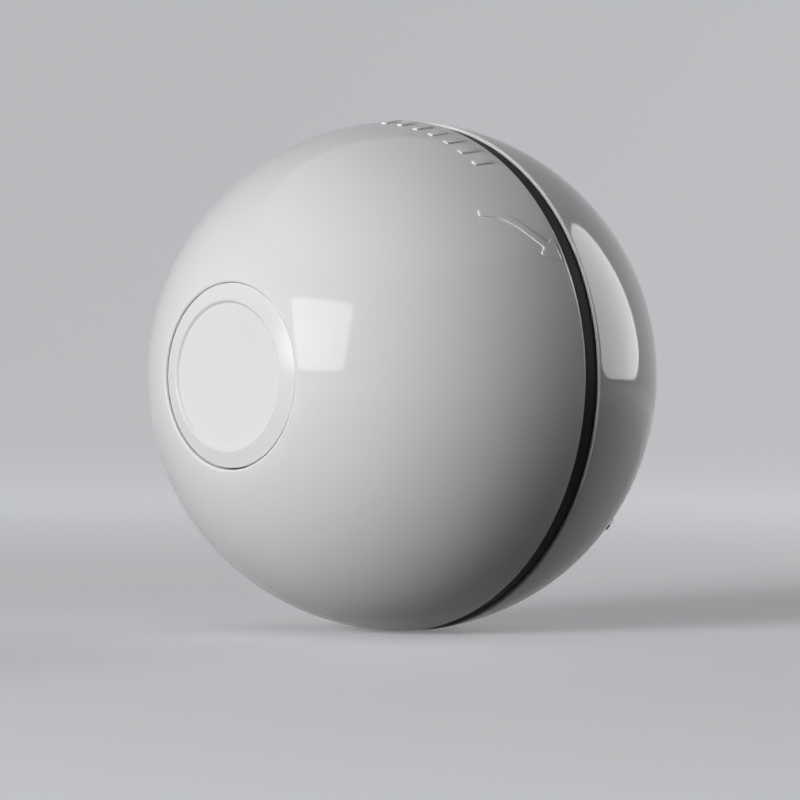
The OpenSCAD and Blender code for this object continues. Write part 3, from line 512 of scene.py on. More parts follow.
def shell_outline(lip, inner_corners, collar_corners):
    """The outline of a half shell: outside from lip to pole, down its pocket, and back along the inside."""
    lip_r = math.sqrt(ball_r ** 2 - lip ** 2)
    return ([(lip_r, lip, lip_round)]
            + ball_arc(ball_r, lip + 2 * lip_round, mouth - mouth_room, 60)
            + [(hole_r, mouth, mouth_round), (hole_r, pocket_floor, 0.2 * mm)]
            + inner_corners
            + [(boss_r, plate_in, 0.5 * mm)]
            + ball_arc(shell_in_r, plate_in, collar_top, 20)
            + collar_corners)


print(f"shell: lip {front_lip / mm:.2f} mm, mouth {mouth / mm:.2f} mm, pocket {pocket_floor / mm:.2f} mm")

# %% Spin the front shell with its tracks
track_deep = 1.15 * mm
track_r = collar_r + track_deep
track_end = 6.45 * mm
track_lead = 30 * mm
track_turn = math.radians(-24.4)
track_rows = 10
columns = 210
track_columns = 20
bush_bore = 3.55 * mm
bush_start, bush_end = forward("front_bush")
front_boss_end = bush_start + 0.85 * mm

collar_rows = [(collar_r, track_end - (track_end - front_lip) * k / track_rows, 0)
               for k in range(track_rows + 1)]
front_corners = shell_outline(
    front_lip,
    [(bush_bore, pocket_floor, 0.2 * mm), (bush_bore, front_boss_end, 0.2 * mm),
     (boss_r, front_boss_end, 0.4 * mm)],
    collar_rows + [(track_r, front_lip, 0)])
bm = turned(softened(front_corners), steps=columns)
slope = math.tau / track_lead
full_turn = slope * (track_end - front_lip)
bmesh.ops.rotate(bm, matrix=Matrix.Rotation(-track_turn, 3, "Y"), verts=bm.verts)
for vert in bm.verts:
    radius, height = math.hypot(vert.co.x, vert.co.z), -vert.co.y
    if abs(radius - collar_r) < tiny:
        lean = slope * (min(height, track_end) - front_lip)
    elif abs(math.hypot(radius, height) - shell_in_r) < tiny:
        lean = full_turn * (plate_in - height) / (plate_in - collar_top)
    else:
        continue
    vert.co.rotate(Matrix.Rotation(-lean, 3, "Y"))
print("front shell:", len(bm.faces), "faces before the tracks")


# %% Extrude the tracks and open them at the lip
def extruded(bm, faces, **options):
    """Extrudes faces and gives the new corners, which are still where the old ones are."""
    made = bmesh.ops.extrude_face_region(bm, geom=faces, **options)["geom"]
    return [part for part in made if isinstance(part, bmesh.types.BMVert)]


half_track = track_columns / 2 * math.tau / columns
track_count = 3
near_radius = 0.6 * mm


def in_track(face, radius, low, high):
    """Is this face part of a track, at that radius and between two distances from the seam?"""
    centre = face.calc_center_median()
    height = -centre.y
    if abs(math.hypot(centre.x, centre.z) - radius) > near_radius or not low < height < high:
        return False
    off = math.atan2(centre.z, centre.x) - track_turn - slope * max(0, height - front_lip)
    share = math.tau / track_count
    return abs((off + share / 2) % share - share / 2) < half_track


lip_faces = [f for f in bm.faces if in_track(f, (collar_r + track_r) / 2, front_lip - tiny, front_lip + tiny)]
floors = [f for f in bm.faces if in_track(f, collar_r, front_lip + tiny, track_end)]
pushed = extruded(bm, floors)
bmesh.ops.scale(bm, vec=(track_r / collar_r, 1, track_r / collar_r), verts=pushed)
lip_walls = [f for f in bm.faces if all(abs(-v.co.y - front_lip) < tiny for v in f.verts)
             and abs(math.hypot(*f.calc_center_median().xz) - (collar_r + track_r) / 2) < near_radius / 2
             and any(v in pushed for v in f.verts)]
bmesh.ops.delete(bm, geom=floors + lip_faces + lip_walls, context="FACES")
bmesh.ops.remove_doubles(bm, verts=bm.verts, dist=merge_within)
bmesh.ops.recalc_face_normals(bm, faces=bm.faces)
print(f"tracks: {len(floors)} faces pushed out, {len(lip_faces) + len(lip_walls)} taken off at the lip")

# %% [markdown]
# ## Ribs and raised marks
# Six ribs stiffen the pole plate from behind. Outside, a short run of raised bars gives the fingers a hold
# near the lip, and a curved arrow tells which way the half closes. On the real ball these are cut about a
# fifth of a millimetre deep into the mould, so they stand proud of the skin and have soft edges. Each bar is
# a small bevelled block, set on the ball by a matrix whose Z points straight out. The arrow has to follow the
# ball, so its flat outline is sliced into a grid, wrapped on to the ball and then thickened.


# %% Helpers for blocks on the ball
def soften_edges(bm, edges, soft, segments):
    """Bevels edges round."""
    bmesh.ops.bevel(bm, geom=edges, offset=soft, segments=segments, profile=0.5, affect="EDGES", material=-1)


def edges_at(corners):
    """The edges that end at some corners, each once and always in the same order."""
    return list(dict.fromkeys(edge for vert in corners for edge in vert.link_edges))


def add_block(bm, place, size, soft):
    """Adds a box with softened edges, with its middle at a place given by a matrix."""
    made = bmesh.ops.create_cube(bm, size=1, matrix=place @ Matrix.Diagonal((*size, 1)))["verts"]
    soften_edges(bm, edges_at(made), soft, 3)


def on_ball(turn, along):
    """A place on the ball's skin: X runs round the axle, Y towards the front pole, Z straight out."""
    reach = math.sqrt(ball_r ** 2 - along ** 2)
    out = Vector((reach * math.cos(turn), along, reach * math.sin(turn))).normalized()
    around = Vector((-math.sin(turn), 0, math.cos(turn)))
    place = Matrix((around, out.cross(around), out)).transposed().to_4x4()
    place.translation = out * ball_r
    return place


mark_high = 0.18 * mm
mark_sink = 0.45 * mm
bar_w = 0.9 * mm
bar_l = 3 * mm
bar_soft = 0.14 * mm
bar_lift = Matrix.Translation((0, 0, (mark_high - mark_sink) / 2))
bar_size = (bar_w, bar_l, mark_high + mark_sink)
front_bar_at = -4.7 * mm
front_bar_turns = range(55, 90, 5)
for turn in front_bar_turns:
    add_block(bm, on_ball(math.radians(turn), front_bar_at) @ bar_lift, bar_size, bar_soft)
print("front bars:", len(front_bar_turns))

# %% Wrap the closing arrow on the ball
arrow_turn = math.radians(33)
arrow_along = -ball_r * math.cos(math.radians(79.2))
arrow_corners = [(3.3, 5.15, 0.3), (2.55, 2.65, 2.5), (1.15, 1.05, 4), (-2.3, -1.8, 0.2), (-3.1, -0.8, 0.3),
                 (-4.3, -4, 0.3), (-0.9, -3.6, 0.3), (-1.7, -2.6, 0.2), (1.85, 0.35, 4), (3.45, 2.15, 3),
                 (4.3, 4.85, 0.3)]
arrow_cell = 0.6 * mm
arrow_cells = 9
arrow_soft = 0.08 * mm
arrow = bmesh.new()
arrow.faces.new([arrow.verts.new((x * mm, y * mm, 0)) for x, y in softened(arrow_corners, 6)])
for axis in (Vector((1, 0, 0)), Vector((0, 1, 0))):
    for step in range(-arrow_cells, arrow_cells + 1):
        bmesh.ops.bisect_plane(arrow, geom=arrow.verts[:] + arrow.edges[:] + arrow.faces[:],
                               plane_co=axis * step * arrow_cell, plane_no=axis, dist=tiny)
sole = arrow.verts[:]
crown = extruded(arrow, arrow.faces[:], use_keep_orig=True)
bmesh.ops.transform(arrow, matrix=on_ball(arrow_turn, arrow_along), verts=arrow.verts)
for verts, radius in ((sole, ball_r - mark_sink), (crown, ball_r + mark_high)):
    for vert in verts:
        vert.co = vert.co.normalized() * radius
bmesh.ops.recalc_face_normals(arrow, faces=arrow.faces)
crown_set = set(crown)
rim = [edge for edge in arrow.edges if all(v in crown_set for v in edge.verts)
       and not all(v in crown_set for face in edge.link_faces for v in face.verts)]
soften_edges(arrow, rim, arrow_soft, 2)
arrow_mesh = bpy.data.meshes.new("closing_arrow")
arrow.to_mesh(arrow_mesh)
arrow.free()
bm.from_mesh(arrow_mesh)
print("arrow:", len(arrow_mesh.polygons), "faces")

# %% Ribs behind the pole plate
rib_count = 6
rib_t = 1.2 * mm
rib_h = 4 * mm
rib_in = boss_r - 0.5 * mm


def add_ribs(bm, facing):
    """Adds the ribs between the boss and the wall, each an upright plate cut to the inside of the ball."""
    foot = plate_in + 0.4 * mm
    sunk_r = shell_in_r + 0.5 * mm
    edge = ball_arc(sunk_r, plate_in - rib_h, foot, 8)
    outline = [(rib_in, foot), (rib_in, plate_in - rib_h)] + [corner[:2] for corner in edge]
    for i in range(rib_count):
        turn = Matrix.Rotation(math.tau * i / rib_count, 3, "Y")
        face = bm.faces.new([bm.verts.new(turn @ Vector((r, facing * h, -rib_t / 2))) for r, h in outline])
        far_side = extruded(bm, [face], use_keep_orig=True)
        bmesh.ops.translate(bm, vec=turn @ Vector((0, 0, rib_t)), verts=far_side)


add_ribs(bm, -1)
piece("front_half_shell", bm, gloss_white, "front_shell")

# %% [markdown]
# ## The back half shell
# The fixed half is the same bowl without tracks. Its boss holds the end of the axle, so its bore stops short
# of the pole and only a screw hole goes on. A groove inside its collar takes the barbs of the black ring.
# One raised index bar sits on its lower flank, just where the photograph's outline shows a small bump.

# %% Spin the back shell
axle_r = 1.5 * mm
axle_bore = axle_r + 0.02 * mm
axle_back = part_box("axle")[1].y
screw_bore = 1.15 * mm
back_boss_end = 16.46 * mm
barb_low = 2.5 * mm
barb_high = 4.2 * mm
barb_r = collar_r + 0.8 * mm
back_corners = shell_outline(
    back_lip,
    [(screw_bore, pocket_floor, 0.2 * mm), (screw_bore, axle_back, 0), (axle_bore, axle_back, 0),
     (axle_bore, back_boss_end, 0.2 * mm), (boss_r, back_boss_end, 0.4 * mm)],
    [(collar_r, barb_high, 0), (barb_r, barb_high, 0), (barb_r, barb_low, 0), (collar_r, barb_low, 0),
     (collar_r, back_lip, 0.3 * mm)])
bm = turned(softened(back_corners), facing=1, steps=192)
index_bar_at = 17.2 * mm
index_bar_turn = math.radians(-43.5)
index_bar_size = (bar_w, 2 * mm, mark_high + mark_sink)
add_block(bm, on_ball(index_bar_turn, index_bar_at) @ bar_lift, index_bar_size, bar_soft)
add_ribs(bm, 1)
piece("back_half_shell", bm, gloss_white, "back_shell")

# %% [markdown]
# ## The pole caps
# A round cap closes each pole. Its rim follows the ball just below the skin around it, with a flat disc sunk
# in the middle. In the photograph the gap round the cap is dark below and on the left and closed on the other
# side, as on a cap that sits against one side of its hole, so each cap is moved by most of its play. The
# sloping step down to the disc shades itself above and glints at the left. These rounds are most of what is
# seen of a cap, so they get more steps than other corners.

# %% Turn both pole caps
disc_r = 8.8 * mm
disc_sink = 0.4 * mm
crown_r = math.hypot(cap_top, disc_r)
cap_edge = math.sqrt(crown_r ** 2 - cap_r ** 2)
cap_play = Vector((0.08 * mm, 0, 0.08 * mm))
cap_soft = 0.4 * mm
step_in = 0.1 * mm
step_out = 0.25 * mm
step_round = 0.35 * mm
room_r = 5.6 * mm
room_top = pocket_floor + 1.05 * mm
disc_level = cap_top - disc_sink
step_top = math.sqrt(crown_r ** 2 - (disc_r + step_out) ** 2)
cap_corners = ([(0, disc_level, 0), (disc_r - step_in, disc_level, 0.1 * mm),
                (disc_r + step_out, step_top, step_round)]
               + ball_arc(crown_r, math.sqrt(crown_r ** 2 - (disc_r + step_out + step_round) ** 2),
                          math.sqrt(crown_r ** 2 - (cap_r - cap_soft) ** 2), 6)
               + [(cap_r, cap_edge, 0.15 * mm), (cap_r, pocket_floor, 0), (room_r, pocket_floor, 0),
                  (room_r, room_top, 0), (0, room_top, 0)])
for node, facing in (("front_pole_cap", -1), ("back_pole_cap", 1)):
    bm = turned(softened(cap_corners, 8), facing, 128, closed=False)
    bmesh.ops.translate(bm, vec=cap_play, verts=bm.verts)
    piece(node.replace("pole_cap", "cap_moulding"), bm, satin_white, node)

# %% [markdown]
# ## The black ring and its seal
# The band round the middle is one black ring with a matt skin. It snaps into the back half for good with
# four barbs, and its front spigot carries a rubber seal in a groove and the three lugs that the front half's
# tracks turn on. Ring and seal are turned outlines; lugs are short round studs with bevelled tops.

# %% Turn the ring and the seal
band_half = 1.15 * mm
ring_in_r = 26.6 * mm
spigot_front_r = collar_r - 0.2 * mm
spigot_back_r = collar_r - 0.05 * mm
ring_back, ring_front = forward("mid_ring")
seal_start, seal_end = forward("seal_ring")
seal_at = (seal_start + seal_end) / 2
groove_half = 0.6 * mm
groove_r = 27.45 * mm
ring_corners = [
    (ring_in_r, ring_front, 0.3 * mm), (spigot_front_r, ring_front, 0.4 * mm),
    (spigot_front_r, seal_at + groove_half, 0.08 * mm), (groove_r, seal_at + groove_half, 0),
    (groove_r, seal_at - groove_half, 0), (spigot_front_r, seal_at - groove_half, 0.08 * mm),
    (spigot_front_r, band_half, 0.1 * mm), (ball_r - band_sink, band_half, 0.12 * mm),
    (ball_r - band_sink, -band_half, 0.12 * mm), (spigot_back_r, -band_half, 0.1 * mm),
    (spigot_back_r, ring_back, 0.4 * mm), (ring_in_r, ring_back, 0.3 * mm)]
bm = turned(softened(ring_corners), steps=192)
lug_r = 1.2 * mm
lug_at = -5 * mm
lug_turns = (20, 140, 260)
lug_soft = 0.25 * mm
lug_top = outer_r("seal_ring") + 1 * mm
lug_root = spigot_front_r - 0.6 * mm
for turn in lug_turns:
    stud = Matrix.Translation(((lug_top + lug_root) / 2, lug_at, 0)) @ Matrix.Rotation(math.pi / 2, 4, "Y")
    made = bmesh.ops.create_cone(bm, cap_ends=True, segments=32, radius1=lug_r, radius2=lug_r,
                                 depth=lug_top - lug_root,
                                 matrix=Matrix.Rotation(math.radians(-turn), 4, "Y") @ stud)["verts"]
    tops = [vert for vert in made if math.hypot(vert.co.x, vert.co.z) > spigot_front_r + 0.5 * mm]
    rim = [edge for edge in edges_at(tops) if all(vert in tops for vert in edge.verts)]
    soften_edges(bm, rim, lug_soft, 3)
barb_size = (0.9 * mm, barb_high - barb_low - 0.2 * mm, 5 * mm)
barb_soft = 0.15 * mm
barb_place = Matrix.Translation((spigot_back_r + 0.1 * mm, (barb_low + barb_high) / 2, 0))
for quarter in range(4):
    add_block(bm, Matrix.Rotation(math.pi / 2 * quarter, 4, "Y") @ barb_place, barb_size, barb_soft)
piece("black_ring", bm, matt_black, "mid_ring")

rubber = moulded("soft_rubber", (0.02, 0.02, 0.021), (0.05, 0.05, 0.05), 0.01, 220, 3000, 0.5, 0.68)
seal_tube = (seal_end - seal_start) / 2
seal_r = outer_r("seal_ring") - seal_tube
seal_steps = 20
seal_outline = circle_loop(seal_r, seal_at, seal_tube, seal_steps)
piece("rubber_seal", turned(seal_outline, steps=160), rubber, "seal_ring")

# %% [markdown]
# ## The axle and what sits on it
# The axle is a ground steel rod, fixed in the back half. Each end has a flat, so that neither the back boss
# nor the front bush can slip round it. A flat is easy to make on a turned rod: the outline gets a close pair
# of points where the flat begins, and every point beyond that lies above the flat is let down on to it. The
# same trick gives the bush its matching bore. A clip in a groove keeps the drum on the axle.

# %% Metals and nylon
steel = machined("ground_steel", (0.60, 0.60, 0.61), (0.48, 0.48, 0.50), 0.004, 900, 0.16, 0.32)
dark_steel = machined("dark_steel", (0.20, 0.20, 0.21), (0.12, 0.12, 0.13), 0.006, 1400, 0.26, 0.42)
bronze = moulded("sintered_bronze", (0.50, 0.31, 0.14), (0.36, 0.22, 0.10), 0.012, 300, 6000, 0.30, 0.48,
                 Metallic=1.0)
brass = machined("brass", (0.68, 0.49, 0.20), (0.55, 0.38, 0.15), 0.004, 1200, 0.18, 0.34)
nylon = moulded("natural_nylon", (0.74, 0.71, 0.62), (0.66, 0.62, 0.53), 0.008, 260, 2600, 0.34, 0.48)
print("metals and nylon:", [material.name for material in (steel, dark_steel, bronze, brass, nylon)])

# %% Turn the axle and the front bush
axle_front = -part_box("axle")[0].y
axle_clear = 0.05 * mm
flat_up = axle_r - 0.5 * mm
bush_flange_r = outer_r("front_bush")
flat_front = bush_start - 0.2 * mm
flat_back = back_boss_end - 0.1 * mm
clip_r = outer_r("axle_clip")
clip_start, clip_end = forward("axle_clip")
clip_neck_r = axle_r - 0.4 * mm

axle_corners = [
    (0, axle_front, 0), (axle_r, axle_front, 0.2 * mm), (axle_r, flat_front + tiny, 0),
    (axle_r, flat_front, 0), (axle_r, clip_end, 0), (clip_neck_r, clip_end, 0), (clip_neck_r, clip_start, 0),
    (axle_r, clip_start, 0), (axle_r, -flat_back, 0), (axle_r, -flat_back - tiny, 0),
    (axle_r, -axle_back, 0.2 * mm), (0, -axle_back, 0)]
bm = turned(softened(axle_corners), steps=64, closed=False)
for vert in bm.verts:
    if not -flat_front - tiny / 2 < vert.co.y < flat_back + tiny / 2:
        vert.co.z = min(vert.co.z, flat_up)
piece("ground_axle", bm, steel, "axle")

bush_r = bush_flange_r - 1.1 * mm
bush_bore_r = axle_r + axle_clear
bush_bore_end = axle_front + 0.6 * mm
flange_end = bush_start + 0.8 * mm
bush_corners = [
    (0, bush_end, 0), (bush_r, bush_end, 0.3 * mm), (bush_r, flange_end, 0),
    (bush_flange_r, flange_end, 0.1 * mm), (bush_flange_r, bush_start, 0.2 * mm),
    (bush_bore_r, bush_start, 0.2 * mm), (bush_bore_r, bush_bore_end, 0), (0, bush_bore_end, 0)]
bm = turned(softened(bush_corners), steps=64, closed=False)
for vert in bm.verts:
    if math.hypot(vert.co.x, vert.co.z) < bush_bore_r + tiny:
        vert.co.z = min(vert.co.z, flat_up + axle_clear)
piece("nylon_bush", bm, nylon, "front_bush")


# %% Helpers for flat pieces with holes
def box_loop(x, up, width, height, corner):
    """Points round a rectangle with rounded corners."""
    right, top = width / 2, height / 2
    corners = [(right, top, corner), (-right, top, corner), (-right, -top, corner), (right, -top, corner)]
    return [(x + point.x, up + point.y) for point in softened(corners, 6)]


def open_loop(radius_in, radius_out, gap, steps=40):
    """Points round a ring that is open at the top, where gap is half of the opening's angle."""
    turns = [math.pi / 2 + gap + (math.tau - 2 * gap) * k / steps for k in range(steps + 1)]
    outer = [(radius_out * math.cos(turn), radius_out * math.sin(turn)) for turn in turns]
    inner = [(radius_in * math.cos(turn), radius_in * math.sin(turn)) for turn in reversed(turns)]
    return outer + inner


face_out = Matrix(((1, 0, 0, 0), (0, 0, -1, 0), (0, 1, 0, 0), (0, 0, 0, 1)))


def mesh_of(curve):
    """Makes a curve a mesh in a new bmesh, with its doubled points joined."""
    holder = bpy.data.objects.new("drawn", curve)
    mesh = bpy.data.meshes.new_from_object(holder)
    bm = bmesh.new()
    bm.from_mesh(mesh)
    bpy.data.objects.remove(holder)
    bpy.data.curves.remove(curve)
    bpy.data.meshes.remove(mesh)
    bmesh.ops.remove_doubles(bm, verts=bm.verts, dist=merge_within)
    return bm


def plate(loops, low, high, soft):
    """A flat piece between two distances from the seam: closed loops for rims and holes, with soft edges."""
    flat = bpy.data.curves.new("plate", "CURVE")
    flat.dimensions = "2D"
    flat.fill_mode = "BOTH"
    flat.extrude = (high - low) / 2 - soft
    flat.bevel_depth = soft
    flat.bevel_resolution = 2
    flat.offset = -soft
    for loop in loops:
        spline = flat.splines.new("POLY")
        spline.points.add(len(loop) - 1)
        for point, (x, up) in zip(spline.points, loop):
            point.co = (x, up, 0, 1)
        spline.use_cyclic_u = True
    bm = mesh_of(flat)
    bmesh.ops.transform(bm, matrix=face_out @ Matrix.Translation((0, 0, (low + high) / 2)), verts=bm.verts)
    bmesh.ops.recalc_face_normals(bm, faces=bm.faces)
    return bm


clip_mouth = 0.8 * mm
clip_gap = math.asin(clip_mouth / clip_neck_r) * 0.7
clip_soft = 0.08 * mm
clip_loop = open_loop(clip_neck_r + 0.02 * mm, clip_r, clip_gap)
piece("spring_clip", plate([clip_loop], clip_start, clip_end, clip_soft), dark_steel, "axle_clip", flat=True)

# %% [markdown]
# ## The drum's front
# With the front half off, the drum's cover is the part that a person uses: a charging socket, a power button,
# a lamp and a small signal lamp, four screws and the bearing that runs on the axle. The cover is a flat
# curve with one loop for each opening; Blender fills between the loops and rounds every edge, and the mesh
# that comes out has no Boolean scars. The outer edge needs a larger round than the holes, so the flat front
# is taken off, the small round is scaled up about its own corner, and the front is filled again between its
# new rims. Long thin triangles between the holes would smear the shading of those rounds over the flat, so
# flat pieces get a Weighted Normal modifier: the large faces lead.

# %% Cut the cover
drum_grey = moulded("grey_moulding", (0.30, 0.31, 0.32), (0.25, 0.255, 0.265), 0.02, 120, 2600, 0.36, 0.5)
drum_r = outer_r("drum_cover")
_, drum_half = forward("drum_cover")
cover_back = drum_half - 1.8 * mm
screw_at = drum_r - 3.1 * mm
screw_spots = [(screw_at * math.cos(turn), screw_at * math.sin(turn))
               for turn in (math.pi / 4 + math.pi / 2 * quarter for quarter in range(4))]
screw_head_r = 1.8 * mm
bearing_r = axle_r + 1 * mm


def middle(node):
    """The middle of a node as the drum's face shows it: across and up."""
    low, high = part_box(node)
    return (low.x + high.x) / 2, (low.z + high.z) / 2


port_low, port_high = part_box("charge_socket")
port_w = port_high.x - port_low.x
port_h = port_high.z - port_low.z
port_wall = 0.3 * mm
port_corner = 1.25 * mm
button_r = 3 * mm
lamp_r = 2.5 * mm
signal_r = 1.4 * mm
cover_soft = 0.15 * mm
cover_round = 0.7 * mm
port_clear = 0.22 * mm
button_clear = 0.2 * mm
lamp_clear = 0.15 * mm
openings = [circle_loop(0, 0, bearing_r + 0.02 * mm),
            circle_loop(*middle("power_button"), button_r + button_clear),
            circle_loop(*middle("lamp"), lamp_r + lamp_clear),
            circle_loop(*middle("signal_lamp"), signal_r + lamp_clear),
            box_loop(*middle("charge_socket"), port_w + 2 * port_clear, port_h + 2 * port_clear,
                     port_corner + port_clear)]
openings += [circle_loop(*spot, screw_head_r + lamp_clear, 32) for spot in screw_spots]
bm = plate([circle_loop(0, 0, drum_r, 128)] + openings, cover_back, drum_half, cover_soft)
flat_front_faces = [face for face in bm.faces if all(-vert.co.y > drum_half - tiny for vert in face.verts)]
bmesh.ops.delete(bm, geom=flat_front_faces, context="FACES")
for vert in bm.verts:
    radius = math.hypot(vert.co.x, vert.co.z)
    if radius > drum_r - 2 * cover_soft and -vert.co.y > drum_half - 2 * cover_soft:
        grow = cover_round / cover_soft
        wanted = drum_r - (drum_r - radius) * grow
        height = -drum_half + (vert.co.y + drum_half) * grow
        vert.co = (vert.co.x * wanted / radius, height, vert.co.z * wanted / radius)
open_rims = [edge for edge in bm.edges if len(edge.link_faces) == 1]
bmesh.ops.triangle_fill(bm, use_beauty=True, edges=open_rims, normal=(0, -1, 0))
piece("drum_face", bm, drum_grey, "drum_cover", flat=True)

# %% Screws with a cross recess
head_low = drum_half - 1 * mm
screw_end, head_high = forward("drum_screws")
recess_deep = 0.5 * mm
arm = 1.0 * mm
half_arm = 0.2 * mm
cross = [(arm, half_arm), (half_arm, half_arm), (half_arm, arm), (-half_arm, arm), (-half_arm, half_arm),
         (-arm, half_arm), (-arm, -half_arm), (-half_arm, -half_arm), (-half_arm, -arm), (half_arm, -arm),
         (half_arm, -half_arm), (arm, -half_arm)]
recess_floor = head_high - recess_deep
head_soft = 0.06 * mm
shank_r = 1 * mm
one_screw = plate([circle_loop(0, 0, screw_head_r, 40), cross], recess_floor, head_high, head_soft)
shank_corners = [(0, recess_floor, 0), (screw_head_r - head_soft, recess_floor, 0),
                 (screw_head_r - head_soft, head_low, 0.1 * mm), (shank_r, head_low, 0),
                 (shank_r, screw_end, 0.3 * mm), (0, screw_end, 0)]
shank = turned(softened(shank_corners), steps=40, closed=False)
screw_mesh = bpy.data.meshes.new("cross_screw")
shank.to_mesh(screw_mesh)
one_screw.from_mesh(screw_mesh)
one_screw.to_mesh(screw_mesh)
bm = bmesh.new()
for x, up in screw_spots:
    before = len(bm.verts)
    bm.from_mesh(screw_mesh)
    bmesh.ops.translate(bm, vec=(x, 0, up), verts=bm.verts[before:])
piece("cross_screws", bm, dark_steel, "drum_screws", flat=True)

# %% Bearings at both ends
bearing_low, bearing_end = forward("front_bearing")
bearing_flange_r = outer_r("front_bearing")
bearing_bore_r = axle_r + axle_clear
bearing_corners = [
    (bearing_bore_r, bearing_end, 0.2 * mm), (bearing_flange_r, bearing_end, 0.2 * mm),
    (bearing_flange_r, drum_half, 0), (bearing_r, drum_half, 0), (bearing_r, bearing_low, 0.15 * mm),
    (bearing_bore_r, bearing_low, 0.15 * mm)]
for node, facing in (("front_bearing", -1), ("back_bearing", 1)):
    piece(node.replace("bearing", "sleeve"), turned(softened(bearing_corners), facing, 64), bronze, node)

# %% [markdown]
# ## Charging socket, button and lamps
# The socket is a folded steel shell round a black tongue with a row of contacts on each side. The power
# button is a dished disc with the usual mark of a broken ring and a bar. The lamp's lens is clear, so what
# lies inside it shows: a small bright cup with the chip that gives the light. Its dome is an arc, and the
# signal lamp is a low red lens of the same kind.

# %% Socket, tongue and contacts
port_x, port_up = middle("charge_socket")
board_face, port_end = forward("charge_socket")
nickel = machined("nickel_plate", (0.66, 0.64, 0.60), (0.55, 0.53, 0.50), 0.003, 1600, 0.14, 0.26)
inside_w, inside_h = port_w - 2 * port_wall, port_h - 2 * port_wall
outer_loop = box_loop(port_x, port_up, port_w, port_h, port_corner)
inner_loop = box_loop(port_x, port_up, inside_w, inside_h, port_corner - port_wall)
piece("socket_shell", plate([outer_loop, inner_loop], board_face, port_end, 0.1 * mm), nickel,
      "charge_socket", flat=True)

black_nylon = moulded("black_nylon", (0.015, 0.015, 0.016), (0.03, 0.03, 0.03), 0.01, 300, 4000, 0.35, 0.5)
tongue_w = 6.7 * mm
tongue_t = 0.7 * mm
tongue_soft = 0.12 * mm
_, tongue_end = forward("charge_tongue")
room = 2 * (port_wall + 0.02 * mm)
bm = plate([box_loop(port_x, port_up, port_w - room, port_h - room, port_corner - room / 2)],
           board_face, board_face + 1 * mm, 0.05 * mm)
tongue_place = Matrix.Translation((port_x, -(board_face + tongue_end) / 2, port_up))
add_block(bm, tongue_place, (tongue_w, tongue_end - board_face, tongue_t), tongue_soft)
piece("socket_tongue", bm, black_nylon, "charge_tongue", flat=True)

contact_l = 3 * mm
contact_w = 0.28 * mm
contact_pitch = 0.5 * mm
contact_proud = 0.03 * mm
contact_soft = 0.01 * mm
contact_y = 0.5 * mm - tongue_end + contact_l / 2
contact_size = (contact_w, contact_l, 2 * contact_proud)
bm = bmesh.new()
for column in range(-5, 7):
    for side in (-1, 1):
        spot = Vector((port_x + (column - 0.5) * contact_pitch, contact_y, port_up + side * tongue_t / 2))
        add_block(bm, Matrix.Translation(spot), contact_size, contact_soft)
piece("socket_contacts", bm, brass, "motor_terminals", replaces=False)

# %% Button with its mark
button_x, button_up = middle("power_button")
button_low, button_top = forward("power_button")
button_flange_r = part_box("power_button")[1].x - button_x
flange_top = button_low + 0.6 * mm
dish_r = button_r - 0.7 * mm
dish = 0.25 * mm
dish_steps = 6
dish_shares = [k / dish_steps for k in range(dish_steps)]
dish_corners = [(dish_r * share, button_top - dish * (1 - share ** 2), 0) for share in dish_shares]
button_corners = dish_corners + [
    (dish_r, button_top, 0.3 * mm), (button_r, button_top, 0.35 * mm), (button_r, flange_top, 0),
    (button_flange_r, flange_top, 0.1 * mm), (button_flange_r, button_low, 0.1 * mm), (0, button_low, 0)]
bm = turned(softened(button_corners), steps=72, closed=False)
bmesh.ops.translate(bm, vec=(button_x, 0, button_up), verts=bm.verts)
piece("button_cap", bm, satin_white, "power_button")

mark_grey = moulded("mark_grey", (0.10, 0.10, 0.105), (0.14, 0.14, 0.14), 0.004, 400, 4000, 0.4, 0.55)
ring_r = 1.1 * mm
stroke = 0.26 * mm
mark_low = button_top - dish - 0.05 * mm
mark_top = button_top - dish * 0.7
bm = plate([open_loop(ring_r - stroke / 2, ring_r + stroke / 2, math.radians(35)),
            box_loop(0, ring_r * 0.85, stroke, ring_r * 0.95, stroke * 0.45)], mark_low, mark_top, 0.02 * mm)
bmesh.ops.translate(bm, vec=(button_x, 0, button_up), verts=bm.verts)
piece("button_mark", bm, mark_grey, "power_button", replaces=False, flat=True)

# %% Lamp, its cup and the signal lamp
clear_lens = moulded("clear_lens", (0.93, 0.95, 0.97), (0.90, 0.92, 0.94), 0.003, 200, 900, 0.03, 0.08,
                     Transmission_Weight=1.0, IOR=1.5)
red_lens = moulded("red_lens", (0.62, 0.03, 0.02), (0.50, 0.02, 0.015), 0.003, 200, 900, 0.08, 0.16,
                   Transmission_Weight=0.35, IOR=1.5)
lamp_x, lamp_up = middle("lamp")
lamp_low, lamp_top = forward("lamp")
dome_start = lamp_top - lamp_r
lamp_flange_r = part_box("lamp")[1].x - lamp_x
dome_steps = 12
dome_turns = [math.pi / 2 * k / dome_steps for k in range(dome_steps + 1)]
dome = [(lamp_r * math.sin(turn), dome_start + lamp_r * math.cos(turn), 0) for turn in dome_turns]
lamp_flange_top = lamp_low + 0.8 * mm
lamp_corners = dome + [(lamp_r, lamp_flange_top, 0), (lamp_flange_r, lamp_flange_top, 0.1 * mm),
                       (lamp_flange_r, lamp_low, 0.1 * mm), (0, lamp_low, 0)]
cup_floor = dome_start - 1.4 * mm
cup_rim = cup_floor + 0.9 * mm
cup_foot = lamp_low + 0.3 * mm
cup_r = 1.5 * mm
cup_corners = [(0, cup_floor, 0), (0.5 * mm, cup_floor, 0), (1.3 * mm, cup_rim, 0.1 * mm),
               (cup_r, cup_rim, 0), (cup_r, cup_foot, 0), (0, cup_foot, 0)]
signal_x, signal_up = middle("signal_lamp")
signal_low, signal_top = forward("signal_lamp")
